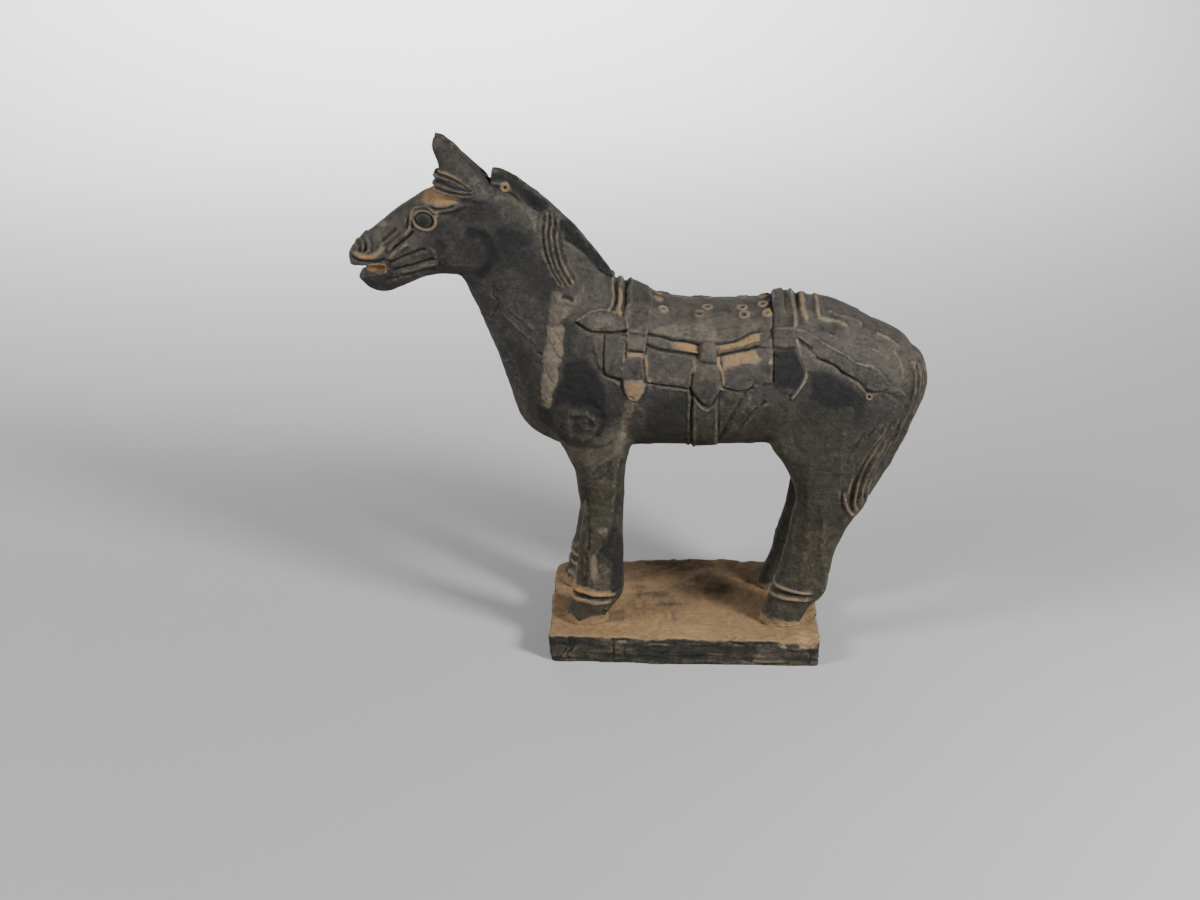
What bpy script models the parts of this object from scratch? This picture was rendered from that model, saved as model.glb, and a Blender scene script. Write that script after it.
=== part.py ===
"""Pottery horse with a saddle and harness, standing on a thin plinth: one moulded, fired piece.

The origin is the centre of the plinth's underside, +Z is up and the horse faces -X, so its
left side is at -Y. Sizes are millimetres and become metres when a mesh is made.

The horse is skinned over oval sections, a remesh fuses those skins and the plinth into one
body, the harness is then raised from its surface, and a last cut makes the underside flat.
"""

import math

import bmesh
import bpy
import numpy as np

MM = 0.001

# Driving dimensions.
PLINTH_HEIGHT = 9.2
# The plinth was cut by hand, so its corners are not square. Each has its X and Y at the top
# and at the bottom, and its rounding.
PLINTH_CORNERS = (
    ((-47.0, -28.0), (-46.0, -29.8), 1.6),
    ((0.0, -28.6), (0.0, -31.0), 20.0),
    ((46.3, -30.4), (46.2, -30.8), 1.2),
    ((46.2, 30.4), (46.2, 30.8), 3.0),
    ((0.0, 32.3), (0.0, 32.6), 26.0),
    ((-46.7, 28.8), (-46.2, 29.5), 5.5),
)
PLINTH_EDGE_DROP = 0.7  # its upper edge is softened by this much down
PLINTH_EDGE_INSET = 0.5  # and this much in
BARREL_HALF_WIDTH = 21.5
FORELEG_Y = 14.0
HINDLEG_Y = 13.5
LEG_HALF_WIDTH = 6.3
EAR_BASE_Y = 5.2
EAR_TIP_Y = 2.8

RING_POINTS = 32
STEPS_BETWEEN = 4
CORNER_POINTS = 7
SUNK = 3.0  # how far each skin runs on into its neighbour
# How full each kind of section is: 2 is an ellipse, and more is nearer to a rectangle.
ROUND = 2.2
TRUNK_FULLNESS = 2.3
LEG_FULLNESS = 2.5
EAR_FULLNESS = 2.0
MANE_FULLNESS = 5.0
VOXEL = 0.9
FLESH_SMOOTHING = 24
DETAIL_SMOOTHING = 3
TRIANGLES = 9400


# Sections. A station is one oval of a skin: the ends of its long diameter in the XZ plane,
# half of its width along Y, and the Y of its middle.


def barrel(share):
    return BARREL_HALF_WIDTH * share


# From the buttocks along the back to the poll: upper end, lower end, half width.
TRUNK = (
    ((76.5, 101.5), (75.0, 90.0), barrel(0.30), 0.0),
    ((75.4, 106.0), (71.0, 80.0), barrel(0.58), 0.0),
    ((71.6, 110.5), (66.0, 71.5), barrel(0.78), 0.0),
    ((61.0, 115.8), (56.0, 66.0), barrel(0.92), 0.0),
    ((49.0, 121.4), (43.0, 67.0), barrel(0.98), 0.0),
    ((36.0, 123.4), (30.0, 72.3), barrel(1.00), 0.0),
    ((20.0, 121.3), (18.0, 72.4), barrel(1.00), 0.0),
    ((5.0, 120.9), (5.0, 71.9), barrel(1.00), 0.0),
    ((-8.0, 122.1), (-8.0, 71.8), barrel(1.00), 0.0),
    ((-18.6, 126.2), (-22.0, 71.3), barrel(1.00), 0.0),
    ((-26.0, 130.0), (-38.0, 70.8), barrel(0.98), 0.0),
    ((-31.4, 136.4), (-49.0, 73.4), barrel(0.92), 0.0),
    ((-37.0, 141.5), (-56.2, 79.2), barrel(0.82), 0.0),
    ((-42.0, 147.0), (-60.3, 90.0), barrel(0.71), 0.0),
    ((-47.0, 151.5), (-63.7, 101.0), barrel(0.61), 0.0),
    ((-53.0, 156.0), (-68.4, 113.0), barrel(0.52), 0.0),
    ((-60.0, 160.0), (-73.2, 124.0), barrel(0.46), 0.0),
    ((-68.0, 163.0), (-77.4, 133.0), barrel(0.42), 0.0),
)
HEAD = (
    ((-64.0, 160.5), (-65.0, 135.0), 6.5, 0.0),
    ((-70.0, 163.5), (-69.0, 130.5), 8.5, 0.0),
    ((-77.0, 163.8), (-76.5, 130.6), 9.4, 0.0),
    ((-85.0, 161.3), (-85.5, 130.7), 9.6, 0.0),
    ((-92.2, 157.2), (-92.0, 128.2), 8.4, 0.0),
    ((-98.3, 152.8), (-98.0, 125.3), 7.0, 0.0),
    ((-104.2, 148.1), (-103.0, 124.2), 6.2, 0.0),
    ((-109.2, 144.2), (-107.2, 126.0), 5.8, 0.0),
    ((-112.6, 140.6), (-110.4, 129.0), 4.8, 0.0),
    ((-114.2, 137.8), (-112.6, 132.4), 3.4, 0.0),
)
# From the shoulder down to the hoof: front end, back end.
FORELEG = (
    ((-44.0, 104.0), (-28.0, 106.0), 6.0, FORELEG_Y - 4.0),
    ((-46.5, 92.0), (-22.0, 96.0), 8.2, FORELEG_Y - 1.8),
    ((-45.5, 80.0), (-19.5, 84.0), 8.2, FORELEG_Y - 1.0),
    ((-41.6, 73.0), (-19.2, 75.0), 7.6, FORELEG_Y - 0.5),
    ((-38.4, 66.0), (-20.9, 68.0), 6.9, FORELEG_Y),
    ((-36.9, 57.0), (-21.6, 58.0), LEG_HALF_WIDTH, FORELEG_Y),
    ((-36.2, 47.5), (-21.9, 47.5), 6.1, FORELEG_Y),
    ((-36.8, 38.0), (-21.8, 37.5), 6.1, FORELEG_Y),
    ((-37.5, 28.0), (-21.6, 28.0), 6.2, FORELEG_Y),
    ((-38.4, 21.5), (-21.3, 20.6), 6.4, FORELEG_Y),
    ((-39.2, 17.0), (-24.6, 15.8), 6.3, FORELEG_Y),
    ((-40.6, 12.0), (-26.8, 12.0), 6.6, FORELEG_Y),
    ((-42.2, PLINTH_HEIGHT - SUNK), (-27.6, PLINTH_HEIGHT - SUNK), 7.0, FORELEG_Y),
)
HINDLEG = (
    ((44.0, 108.0), (64.0, 108.0), 6.0, HINDLEG_Y - 4.0),
    ((36.0, 96.0), (72.0, 97.0), 8.4, HINDLEG_Y - 1.8),
    ((29.0, 84.0), (71.0, 85.0), 8.6, HINDLEG_Y - 1.2),
    ((27.6, 76.0), (67.4, 76.5), 8.4, HINDLEG_Y - 0.8),
    ((31.4, 70.0), (65.2, 70.0), 8.1, HINDLEG_Y - 0.5),
    ((35.2, 63.5), (62.8, 63.5), 7.7, HINDLEG_Y - 0.3),
    ((36.9, 56.5), (60.0, 56.5), 7.2, HINDLEG_Y),
    ((36.4, 50.0), (57.2, 49.5), 6.8, HINDLEG_Y),
    ((35.2, 43.5), (54.0, 44.0), 6.4, HINDLEG_Y),
    ((33.8, 36.0), (51.3, 37.0), 6.2, HINDLEG_Y),
    ((32.3, 30.0), (49.8, 30.0), 6.2, HINDLEG_Y),
    ((31.0, 24.5), (49.0, 23.5), 6.3, HINDLEG_Y),
    ((29.9, 21.0), (48.3, 19.6), 6.4, HINDLEG_Y),
    ((28.6, 17.0), (44.0, 16.2), 6.3, HINDLEG_Y),
    ((27.0, 12.5), (41.7, 12.5), 6.6, HINDLEG_Y),
    ((25.6, PLINTH_HEIGHT - SUNK), (40.2, PLINTH_HEIGHT - SUNK), 7.0, HINDLEG_Y),
)
# Front edge and back edge, from the base to the tip.
EAR = (
    ((-80.5, 159.0), (-64.5, 158.0), 2.6, EAR_BASE_Y),
    ((-82.0, 166.6), (-67.6, 164.4), 2.5, EAR_BASE_Y - 0.4),
    ((-83.0, 171.0), (-72.3, 169.0), 2.2, EAR_BASE_Y - 1.0),
    ((-84.6, 175.2), (-77.2, 174.2), 1.7, EAR_BASE_Y - 1.8),
    ((-84.2, 178.8), (-80.8, 177.6), 1.0, EAR_TIP_Y),
)
FORELOCK = (
    ((-84.4, 165.8), (-84.2, 158.5), 3.0, 0.0),
    ((-83.6, 166.6), (-83.0, 158.0), 6.2, 0.0),
    ((-79.0, 166.2), (-79.0, 157.6), 9.0, 0.0),
    ((-74.0, 164.5), (-74.0, 157.0), 9.2, 0.0),
    ((-70.0, 162.0), (-70.5, 157.0), 7.6, 0.0),
)
# A clipped mane stands on the crest of the neck as an upright board.
MANE_HALF_WIDTH = 2.9
MANE = (
    ((-65.6, 167.6), (-66.0, 154.0), MANE_HALF_WIDTH, 0.0),
    ((-63.0, 167.4), (-63.0, 152.0), MANE_HALF_WIDTH, 0.0),
    ((-58.0, 164.8), (-58.0, 150.0), MANE_HALF_WIDTH, 0.0),
    ((-50.0, 159.1), (-52.0, 146.0), MANE_HALF_WIDTH, 0.0),
    ((-42.0, 151.6), (-46.0, 140.0), MANE_HALF_WIDTH, 0.0),
    ((-34.0, 142.8), (-40.0, 132.0), MANE_HALF_WIDTH, 0.0),
    ((-27.0, 133.2), (-34.0, 124.0), MANE_HALF_WIDTH, 0.0),
    ((-24.5, 129.0), (-31.0, 121.0), MANE_HALF_WIDTH * 0.8, 0.0),
)
# The tail lies flat down the back of the rump, nearly flush with the thighs: outer, inner end.
TAIL = (
    ((70.8, 108.9), (62.0, 103.0), 3.2, 0.0),
    ((77.4, 105.2), (60.0, 97.5), 6.2, 0.0),
    ((80.6, 97.6), (58.0, 90.5), 9.0, 0.0),
    ((79.4, 88.0), (56.0, 80.0), 10.8, 0.0),
    ((74.9, 76.5), (52.0, 69.0), 11.8, 0.0),
    ((68.3, 63.6), (50.0, 58.0), 12.4, 0.0),
    ((62.0, 51.0), (52.0, 49.0), 11.4, 0.0),
    ((59.0, 45.6), (54.0, 46.6), 8.4, 0.0),
)
FAR_FORELEG_STEP = 2.4  # the right foreleg stands a little forward of the left
FORELEG_STEPS_BELOW = 50.0
MOUTH_CORNER = (-101.0, 134.3)
MOUTH_GAP = 2.4
MOUTH_SLOPE = 0.08  # the lips part lower at the front
LOWER_LIP_FRONT = (-110.4, 131.2)
CHIN_SLOPE = 0.8  # how far the lower lip's front leans back over the depth of the cut
MOUTH_CUT_LENGTH = 20.0
MOUTH_CUT_DEPTH = 5.0
MOUTH_CUT_HALF_WIDTH = 12.0
MOUTH_CORE = (  # the clay left between the jaws, so that the mouth is not a slot right through
    ((-98.0, 137.0), (-98.0, 130.0), 3.4, 0.0),
    ((-104.0, 137.0), (-104.0, 129.0), 3.4, 0.0),
    ((-108.0, 136.5), (-107.6, 128.5), 3.0, 0.0),
)

UNDERSIDE_CUT_REACH = 80.0
UNDERSIDE_CUT_DEPTH = 30.0

# Low relief on both flanks. A plate is a raised outline in the XZ plane, a cord is a raised
# line, and a furrow is a sunk one. Heights and widths are millimetres.
TURNED_INWARD = 0.25  # the relief fades out where the surface faces inward more than this
INWARD_FADE = 0.3
PLATE_EDGE = 1.1
SOFT_END = 2.0  # where a strap fades out
LINE_SPREAD = 1.6  # how much wider the foot of a rounded line is than its crest
SADDLE_FRONT = -14.0
SADDLE_BACK = 27.4
SADDLE_MIDDLE = 6.0
SEAT_HEIGHT = 0.8
SEAT_EDGE_Z = 113.4
SEAT_EDGE_RISE = 3.0  # at the seat's half length from its middle
SEAT_HALF_LENGTH = 18.0
FRONT_BAND = (-20.4, SADDLE_FRONT)
REAR_BAND = (SADDLE_BACK, 34.6)
BAND_HEIGHT = 1.0
BAND_FOOT_Z = 96.0
CREST_BUMP = 0.9
CREST_Z = 121.0
CREST_FADE = 6.0
PLATES = (
    (1.0, ((3.2, 107.4), (3.2, 113.4), (8.7, 113.4), (8.7, 107.4))),  # buckle
    (0.9, ((1.2, 108.0), (0.2, 99.6), (2.4, 96.2), (5.6, 92.6), (8.8, 96.2), (10.2, 108.0))),
    (0.7, ((-13.4, 110.0), (-13.2, 100.8), (0.2, 99.6), (1.0, 109.4))),  # front skirt
    (0.7, ((10.6, 109.2), (11.2, 99.4), (18.0, 99.2), (26.4, 101.2), (26.4, 111.6))),
    (0.9, ((-36.6, 121.2), (-31.8, 123.6), (-20.5, 121.4), (-20.5, 117.4), (-31.0, 117.8))),
    (0.6, ((-31.0, 116.4), (-28.2, 104.4), (-22.8, 101.6), (-20.8, 116.6))),
    (0.8, ((35.4, 113.4), (38.2, 105.2), (42.2, 106.6), (40.0, 112.6))),  # keeper
    (  # crupper
        0.9,
        (
            (34.6, 117.2),
            (45.0, 113.0),
            (54.0, 107.6),
            (63.4, 103.6),
            (66.0, 99.0),
            (59.6, 97.2),
            (52.6, 104.0),
            (42.0, 109.8),
            (34.6, 114.6),
        ),
    ),
)
CORDS = (
    (1.6, 0.9, ((-26.0, 129.5), (-26.0, 123.0))),
    (1.6, 0.9, ((-23.6, 128.5), (-23.6, 121.8))),
    (1.5, 0.8, ((38.2, 124.0), (38.2, 119.6))),
    (1.5, 0.8, ((42.4, 123.5), (42.6, 119.8), (49.5, 118.6), (52.4, 116.4))),
    (1.3, 0.6, ((35.4, 113.6), (38.2, 106.0), (37.4, 101.0), (34.8, 96.6))),
    (1.4, 0.8, ((-93.4, 149.6), (-91.4, 154.8), (-87.4, 156.6), (-82.6, 154.7), (-76.0, 156.2))),
    (1.8, 0.8, ((-90.6, 149.2), (-95.6, 144.8), (-99.4, 139.6))),  # cheekbone
    (1.6, 0.6, ((-96.6, 147.8), (-101.6, 142.4), (-104.0, 139.8))),
    (2.0, 0.8, ((-111.4, 138.0), (-106.4, 137.9), (-101.6, 140.8))),  # upper lip
    (4.6, 0.7, ((-43.0, 128.0), (-44.6, 118.0), (-45.6, 104.0), (-47.0, 91.0))),  # shoulder
)
FURROWS = (
    (1.6, 0.8, ((-99.4, 137.7), (-94.0, 139.6), (-87.2, 142.0))),
    (1.6, 0.8, ((-99.0, 133.9), (-92.0, 136.4), (-85.2, 138.4))),
    (5.0, 1.2, ((-68.4, 145.0), (-66.8, 140.0), (-68.4, 135.0))),  # behind the jowl
    (1.4, 0.8, ((66.4, 83.0), (59.0, 71.0), (55.2, 62.0), (54.6, 54.4))),
    (1.4, 0.8, ((69.6, 81.0), (62.6, 69.0), (58.8, 60.0), (58.0, 52.4))),
    (1.4, 0.8, ((73.4, 80.0), (66.4, 67.0), (62.0, 57.0), (60.0, 49.6))),
    (1.2, 0.7, ((-84.0, 163.8), (-78.0, 162.8), (-72.4, 161.6))),
)
EYE = (-87.3, 152.3)
EYE_RADII = (3.5, 2.6)
EYEBALL_HEIGHT = 0.9
LID_HEIGHT = 0.7
LID_PLACE = 1.1  # times the eye's radii
LID_WIDTH = 0.7  # times the eye's radii
NOSTRIL = (-108.8, 141.4)
NOSTRIL_WIDTH = 3.0
NOSTRIL_DEPTH = 0.8
NOSTRIL_RIM_RADIUS = 2.6
NOSTRIL_RIM_WIDTH = 1.6
NOSTRIL_RIM_HEIGHT = 0.5
GIRTH = (1.6, 9.4)
GIRTH_HEIGHT = 0.7
GIRTH_FOOT_Z = 68.0
HOOF_BAND_HEIGHT = 0.6
HOOF_BAND_WIDTH = 2.2
PASTERN_REACH = 4.0  # the rings go this far past their ends
HOOF_BANDS = (  # front end and back end of each ring round a pastern
    (FORELEG_Y, (-38.2, 21.8), (-24.4, 20.9)),
    (FORELEG_Y, (-39.0, 18.6), (-25.4, 17.6)),
    (HINDLEG_Y, (30.4, 24.4), (43.6, 22.0)),
    (HINDLEG_Y, (29.6, 20.3), (42.8, 19.6)),
)


def between(stations):
    """The stations with STEPS_BETWEEN - 1 more on a smooth curve (Catmull-Rom) in each gap."""
    rows = np.array([[*a, *b, width, y] for a, b, width, y in stations])
    rows = np.vstack([2 * rows[0] - rows[1], rows, 2 * rows[-1] - rows[-2]])
    out = []
    for before, start, end, after in zip(rows, rows[1:], rows[2:], rows[3:]):
        for step in range(STEPS_BETWEEN):
            t = step / STEPS_BETWEEN
            leave = (end - before) / 2
            arrive = (after - start) / 2
            out.append(
                (2 * t**3 - 3 * t**2 + 1) * start
                + (t**3 - 2 * t**2 + t) * leave
                + (3 * t**2 - 2 * t**3) * end
                + (t**3 - t**2) * arrive
            )
    out.append(rows[-2])
    return out


def oval(row, fullness, side):
    """One closed section as points."""
    ax, az, bx, bz, half_width, y = row
    points = []
    for i in range(RING_POINTS):
        angle = 2 * math.pi * i / RING_POINTS
        along, across = math.cos(angle), math.sin(angle)
        along = math.copysign(abs(along) ** (2 / fullness), along)
        across = math.copysign(abs(across) ** (2 / fullness), across)
        points.append(
            (
                (ax + bx) / 2 + along * (ax - bx) / 2,
                side * (y + across * half_width),
                (az + bz) / 2 + along * (az - bz) / 2,
            )
        )
    return points


def skin(shell, rings):
    """Adds a closed skin over the rings to a bmesh, with a fan at each end."""
    rows = [[shell.verts.new(point) for point in ring] for ring in rings]
    for row, following in zip(rows, rows[1:]):
        for i in range(len(row)):
            j = (i + 1) % len(row)
            shell.faces.new((row[i], row[j], following[j], following[i]))
    for row in (rows[0], rows[-1]):
        middle = shell.verts.new(np.mean([vert.co for vert in row], axis=0))
        for i in range(len(row)):
            shell.faces.new((row[i], row[(i + 1) % len(row)], middle))


def loft(shell, stations, fullness=ROUND, side=1):
    skin(shell, [oval(row, fullness, side) for row in between(stations)])


def mesh_object(name, shell, collection):
    bmesh.ops.recalc_face_normals(shell, faces=shell.faces)
    bmesh.ops.scale(shell, vec=(MM, MM, MM), verts=shell.verts)
    mesh = bpy.data.meshes.new(name)
    shell.to_mesh(mesh)
    shell.free()
    made = bpy.data.objects.new(name, mesh)
    collection.objects.link(made)
    return made


def plinth_outline(height, inset):
    """The plinth's outline at a height, each corner a quadratic curve as wide as its rounding."""
    share = height / PLINTH_HEIGHT
    corners = []
    for top, bottom, _ in PLINTH_CORNERS:
        corner = share * np.array(top) + (1 - share) * np.array(bottom)
        corners.append(corner - inset * np.sign(corner))
    outline = []
    for i, (_, _, rounding) in enumerate(PLINTH_CORNERS):
        corner = corners[i]
        ends = []
        for neighbour in (corners[i - 1], corners[(i + 1) % len(corners)]):
            towards = (neighbour - corner) / np.linalg.norm(neighbour - corner)
            ends.append(corner + towards * rounding)
        for t in np.linspace(0.0, 1.0, CORNER_POINTS):
            outline.append((1 - t) ** 2 * ends[0] + 2 * t * (1 - t) * corner + t**2 * ends[1])
    return outline


def plinth(shell):
    """The slab, its upper edge softened, run on below the underside so that the cut is flat."""
    levels = (
        (-SUNK, 0.0),
        (PLINTH_HEIGHT - PLINTH_EDGE_DROP, 0.0),
        (PLINTH_HEIGHT, PLINTH_EDGE_INSET),
    )
    skin(shell, [[(x, y, z) for x, y in plinth_outline(z, inset)] for z, inset in levels])


def clear_scene():
    for obj in list(bpy.data.objects):
        bpy.data.objects.remove(obj, do_unlink=True)


def new_collection(name):
    made = bpy.data.collections.new(name)
    bpy.context.scene.collection.children.link(made)
    return made


def fired_clay():
    made = bpy.data.materials.new("fired_clay")
    made.use_nodes = True
    surface = made.node_tree.nodes["Principled BSDF"]
    surface.inputs["Base Color"].default_value = (0.075, 0.067, 0.058, 1.0)
    surface.inputs["Roughness"].default_value = 0.72
    surface.inputs["Metallic"].default_value = 0.0
    return made


def cutter(name, collection, shell):
    made = mesh_object(name, shell, collection)
    made.hide_render = True
    made.display_type = "WIRE"
    return made


def mouth_cutter(collection):
    """Opens forward from the corner of the mouth, and sets the lower lip back from the upper."""
    x, z = MOUTH_CORNER
    lip_x, lip_z = LOWER_LIP_FRONT
    half = MOUTH_GAP / 2
    front = x - MOUTH_CUT_LENGTH
    foot = lip_z - MOUTH_CUT_DEPTH
    reach = MOUTH_CUT_HALF_WIDTH
    profile = (
        (x, z + half),
        (x, z - half),
        (lip_x, lip_z),
        (lip_x + CHIN_SLOPE, foot),
        (front, foot),
        (front, z + half - MOUTH_SLOPE * (x - front)),
    )
    shell = bmesh.new()
    skin(shell, [[(px, y, pz) for px, pz in profile] for y in (-reach, 0.0, reach)])
    return cutter("mouth_cutter", collection, shell)


def underside_cutter(collection):
    """A block whose upper face is the plane of the underside."""
    reach = UNDERSIDE_CUT_REACH
    outline = ((-reach, -reach), (reach, -reach), (reach, reach), (-reach, reach))
    levels = (-UNDERSIDE_CUT_DEPTH, -UNDERSIDE_CUT_DEPTH / 2, 0.0)
    shell = bmesh.new()
    skin(shell, [[(x, y, z) for x, y in outline] for z in levels])
    return cutter("underside_cutter", collection, shell)


def cut(obj, tool, name):
    made = obj.modifiers.new(name, "BOOLEAN")
    made.operation = "DIFFERENCE"
    made.solver = "EXACT"
    made.object = tool


def evaluated(obj):
    return bpy.data.meshes.new_from_object(
        obj.evaluated_get(bpy.context.evaluated_depsgraph_get())
    )


def fused(name, shell, iterations, collection):
    """One closed surface around everything in the bmesh, smoothed, as a new object."""
    loose = mesh_object(name + "_skins", shell, collection)
    fuse = loose.modifiers.new("fuse", "REMESH")
    fuse.mode = "VOXEL"
    fuse.voxel_size = VOXEL * MM
    smooth = loose.modifiers.new("smooth", "SMOOTH")
    smooth.factor = 0.5
    smooth.iterations = iterations
    bpy.context.view_layer.update()
    made = bpy.data.objects.new(name, evaluated(loose))
    collection.objects.link(made)
    bpy.data.objects.remove(loose)
    return made


def stepped(stations, forward, below):
    """The stations under a height moved forward, the lowest by the whole step."""
    out = []
    for (ax, az), (bx, bz), half_width, y in stations:
        step = forward * min(1.0, max(0.0, (below - az) / (below - PLINTH_HEIGHT)))
        out.append(((ax - step, az), (bx - step, bz), half_width, y))
    return out


def flesh(collection):
    """Trunk, neck, head and legs, with soft joins."""
    shell = bmesh.new()
    loft(shell, TRUNK, TRUNK_FULLNESS)
    loft(shell, FORELEG, LEG_FULLNESS, -1)
    loft(shell, stepped(FORELEG, FAR_FORELEG_STEP, FORELEG_STEPS_BELOW), LEG_FULLNESS, 1)
    for side in (-1, 1):
        loft(shell, HINDLEG, LEG_FULLNESS, side)
    loft(shell, HEAD)
    return fused("flesh", shell, FLESH_SMOOTHING, collection)


def step_up(distance, width):
    """0 to 1 across a soft edge of this width, where the distance is 0."""
    t = np.clip(distance / width + 0.5, 0.0, 1.0)
    return t * t * (3 - 2 * t)


def mound(distance, width):
    """1 on a line and 0 beyond half of this width from it."""
    return np.clip(1 - (2 * distance / width) ** 2, 0.0, 1.0) ** 1.5


def off_line(x, z, points):
    """Distance from every surface point to a line of straight runs."""
    nearest = np.full(len(x), np.inf)
    for (ax, az), (bx, bz) in zip(points, points[1:]):
        run = (bx - ax) ** 2 + (bz - az) ** 2
        t = np.clip(((x - ax) * (bx - ax) + (z - az) * (bz - az)) / run, 0.0, 1.0)
        nearest = np.minimum(nearest, np.hypot(x - ax - t * (bx - ax), z - az - t * (bz - az)))
    return nearest


def inside(x, z, outline):
    """Distance to a closed outline, positive inside it."""
    closed = (*outline, outline[0])
    odd = np.zeros(len(x), bool)
    for (ax, az), (bx, bz) in zip(closed, closed[1:]):
        if az != bz:
            odd ^= ((az > z) != (bz > z)) & (x < ax + (z - az) * (bx - ax) / (bz - az))
    return off_line(x, z, closed) * np.where(odd, 1, -1)


def harness(x, z):
    """Height of the saddle and its straps over the hide."""
    seat = step_up(x - SADDLE_FRONT, PLATE_EDGE) * step_up(SADDLE_BACK - x, PLATE_EDGE)
    seat_edge = SEAT_EDGE_Z + SEAT_EDGE_RISE * ((x - SADDLE_MIDDLE) / SEAT_HALF_LENGTH) ** 2
    height = SEAT_HEIGHT * seat * step_up(z - seat_edge, PLATE_EDGE)
    crest = CREST_BUMP * step_up(z - CREST_Z, CREST_FADE)
    for low, high in (FRONT_BAND, REAR_BAND):
        band = step_up(x - low, PLATE_EDGE) * step_up(high - x, PLATE_EDGE)
        band *= step_up(z - BAND_FOOT_Z, SOFT_END)
        height = np.maximum(height, band * (BAND_HEIGHT + crest))
    girth = step_up(x - GIRTH[0], PLATE_EDGE) * step_up(GIRTH[1] - x, PLATE_EDGE)
    girth *= step_up(BAND_FOOT_Z - z, SOFT_END) * step_up(z - GIRTH_FOOT_Z, SOFT_END)
    height = np.maximum(height, GIRTH_HEIGHT * girth)
    for raised, outline in PLATES:
        height = np.maximum(height, raised * step_up(inside(x, z, outline), PLATE_EDGE))
    return height


def carving(x, z):
    """Height of the lines cut in or laid on the hide."""
    height = np.zeros(len(x))
    for width, raised, points in CORDS:
        line = mound(off_line(x, z, points), width * LINE_SPREAD)
        height = np.maximum(height, raised * line)
    for width, sunk, points in FURROWS:
        height -= sunk * mound(off_line(x, z, points), width * LINE_SPREAD)
    eye = np.hypot((x - EYE[0]) / EYE_RADII[0], (z - EYE[1]) / EYE_RADII[1])
    height += EYEBALL_HEIGHT * mound(eye, 2.0)
    height += LID_HEIGHT * mound(eye - LID_PLACE, LID_WIDTH)
    nostril = np.hypot(x - NOSTRIL[0], z - NOSTRIL[1])
    height -= NOSTRIL_DEPTH * mound(nostril, NOSTRIL_WIDTH)
    height += NOSTRIL_RIM_HEIGHT * mound(nostril - NOSTRIL_RIM_RADIUS, NOSTRIL_RIM_WIDTH)
    return height


def hoof_bands(x, y, z):
    """Height of the rings round the four pasterns."""
    height = np.zeros(len(x))
    for middle, front, back in HOOF_BANDS:
        slope = (back[1] - front[1]) / (back[0] - front[0])
        ring = np.abs(z - front[1] - slope * (x - front[0]))
        near = (x > front[0] - PASTERN_REACH) & (x < back[0] + PASTERN_REACH)
        near &= np.abs(np.abs(y) - middle) < 2 * LEG_HALF_WIDTH
        height = np.maximum(height, HOOF_BAND_HEIGHT * mound(ring, HOOF_BAND_WIDTH) * near)
    return height


def carve(horse):
    """Moves the surface out along its normals by the relief."""
    mesh = horse.data
    count = len(mesh.vertices)
    points = np.empty(count * 3)
    normals = np.empty(count * 3, np.float32)
    mesh.vertices.foreach_get("co", points)
    mesh.vertex_normals.foreach_get("vector", normals)
    points = points.reshape(-1, 3)
    normals = normals.reshape(-1, 3)
    x, y, z = points.T / MM
    outward = step_up(normals[:, 1] * np.sign(y) + TURNED_INWARD, INWARD_FADE)
    height = outward * (harness(x, z) + carving(x, z)) + hoof_bands(x, y, z)
    points += normals * (height * MM)[:, None]
    mesh.vertices.foreach_set("co", points.ravel())
    mesh.update()


def main():
    clear_scene()
    collection = new_collection("pottery_horse")
    cutters = new_collection("cutters")
    body = flesh(cutters)
    cut(body, mouth_cutter(cutters), "mouth")
    bpy.context.view_layer.update()

    shell = bmesh.new()
    shell.from_mesh(evaluated(body))
    bmesh.ops.scale(shell, vec=(1 / MM, 1 / MM, 1 / MM), verts=shell.verts)
    for side in (-1, 1):
        loft(shell, EAR, EAR_FULLNESS, side)
    loft(shell, FORELOCK)
    loft(shell, MANE, MANE_FULLNESS)
    loft(shell, TAIL, TRUNK_FULLNESS)
    plinth(shell)
    loft(shell, MOUTH_CORE)
    bpy.data.objects.remove(body)
    horse = fused("horse_on_plinth", shell, DETAIL_SMOOTHING, collection)
    horse.data.materials.append(fired_clay())
    carve(horse)
    fewer = horse.modifiers.new("fewer_faces", "DECIMATE")
    fewer.ratio = TRIANGLES / (2 * len(horse.data.polygons))
    cut(horse, underside_cutter(cutters), "flat_underside")


main()
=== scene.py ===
import math

import bmesh
import bpy
import numpy as np
from mathutils import Matrix, Vector


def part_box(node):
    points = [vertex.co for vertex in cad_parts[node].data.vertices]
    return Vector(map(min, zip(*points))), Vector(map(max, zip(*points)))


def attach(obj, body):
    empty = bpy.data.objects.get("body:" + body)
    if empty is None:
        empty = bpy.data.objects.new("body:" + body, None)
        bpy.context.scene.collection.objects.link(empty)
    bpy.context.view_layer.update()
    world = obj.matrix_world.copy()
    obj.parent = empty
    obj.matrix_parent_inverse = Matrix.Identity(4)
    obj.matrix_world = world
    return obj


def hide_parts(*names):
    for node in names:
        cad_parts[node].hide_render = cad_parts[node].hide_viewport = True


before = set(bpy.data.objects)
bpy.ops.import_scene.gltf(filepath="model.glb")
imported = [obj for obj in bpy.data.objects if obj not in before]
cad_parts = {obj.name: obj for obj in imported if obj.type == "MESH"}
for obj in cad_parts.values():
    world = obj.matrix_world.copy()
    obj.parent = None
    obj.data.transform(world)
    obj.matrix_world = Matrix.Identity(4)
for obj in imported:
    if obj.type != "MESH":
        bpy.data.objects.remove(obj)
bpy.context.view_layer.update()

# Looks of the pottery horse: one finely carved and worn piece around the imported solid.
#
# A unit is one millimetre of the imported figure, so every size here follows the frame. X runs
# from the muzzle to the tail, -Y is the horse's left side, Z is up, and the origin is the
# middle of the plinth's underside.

CAD_NODE = "horse_on_plinth"
FIGURE_HEIGHT = 178.3
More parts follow.
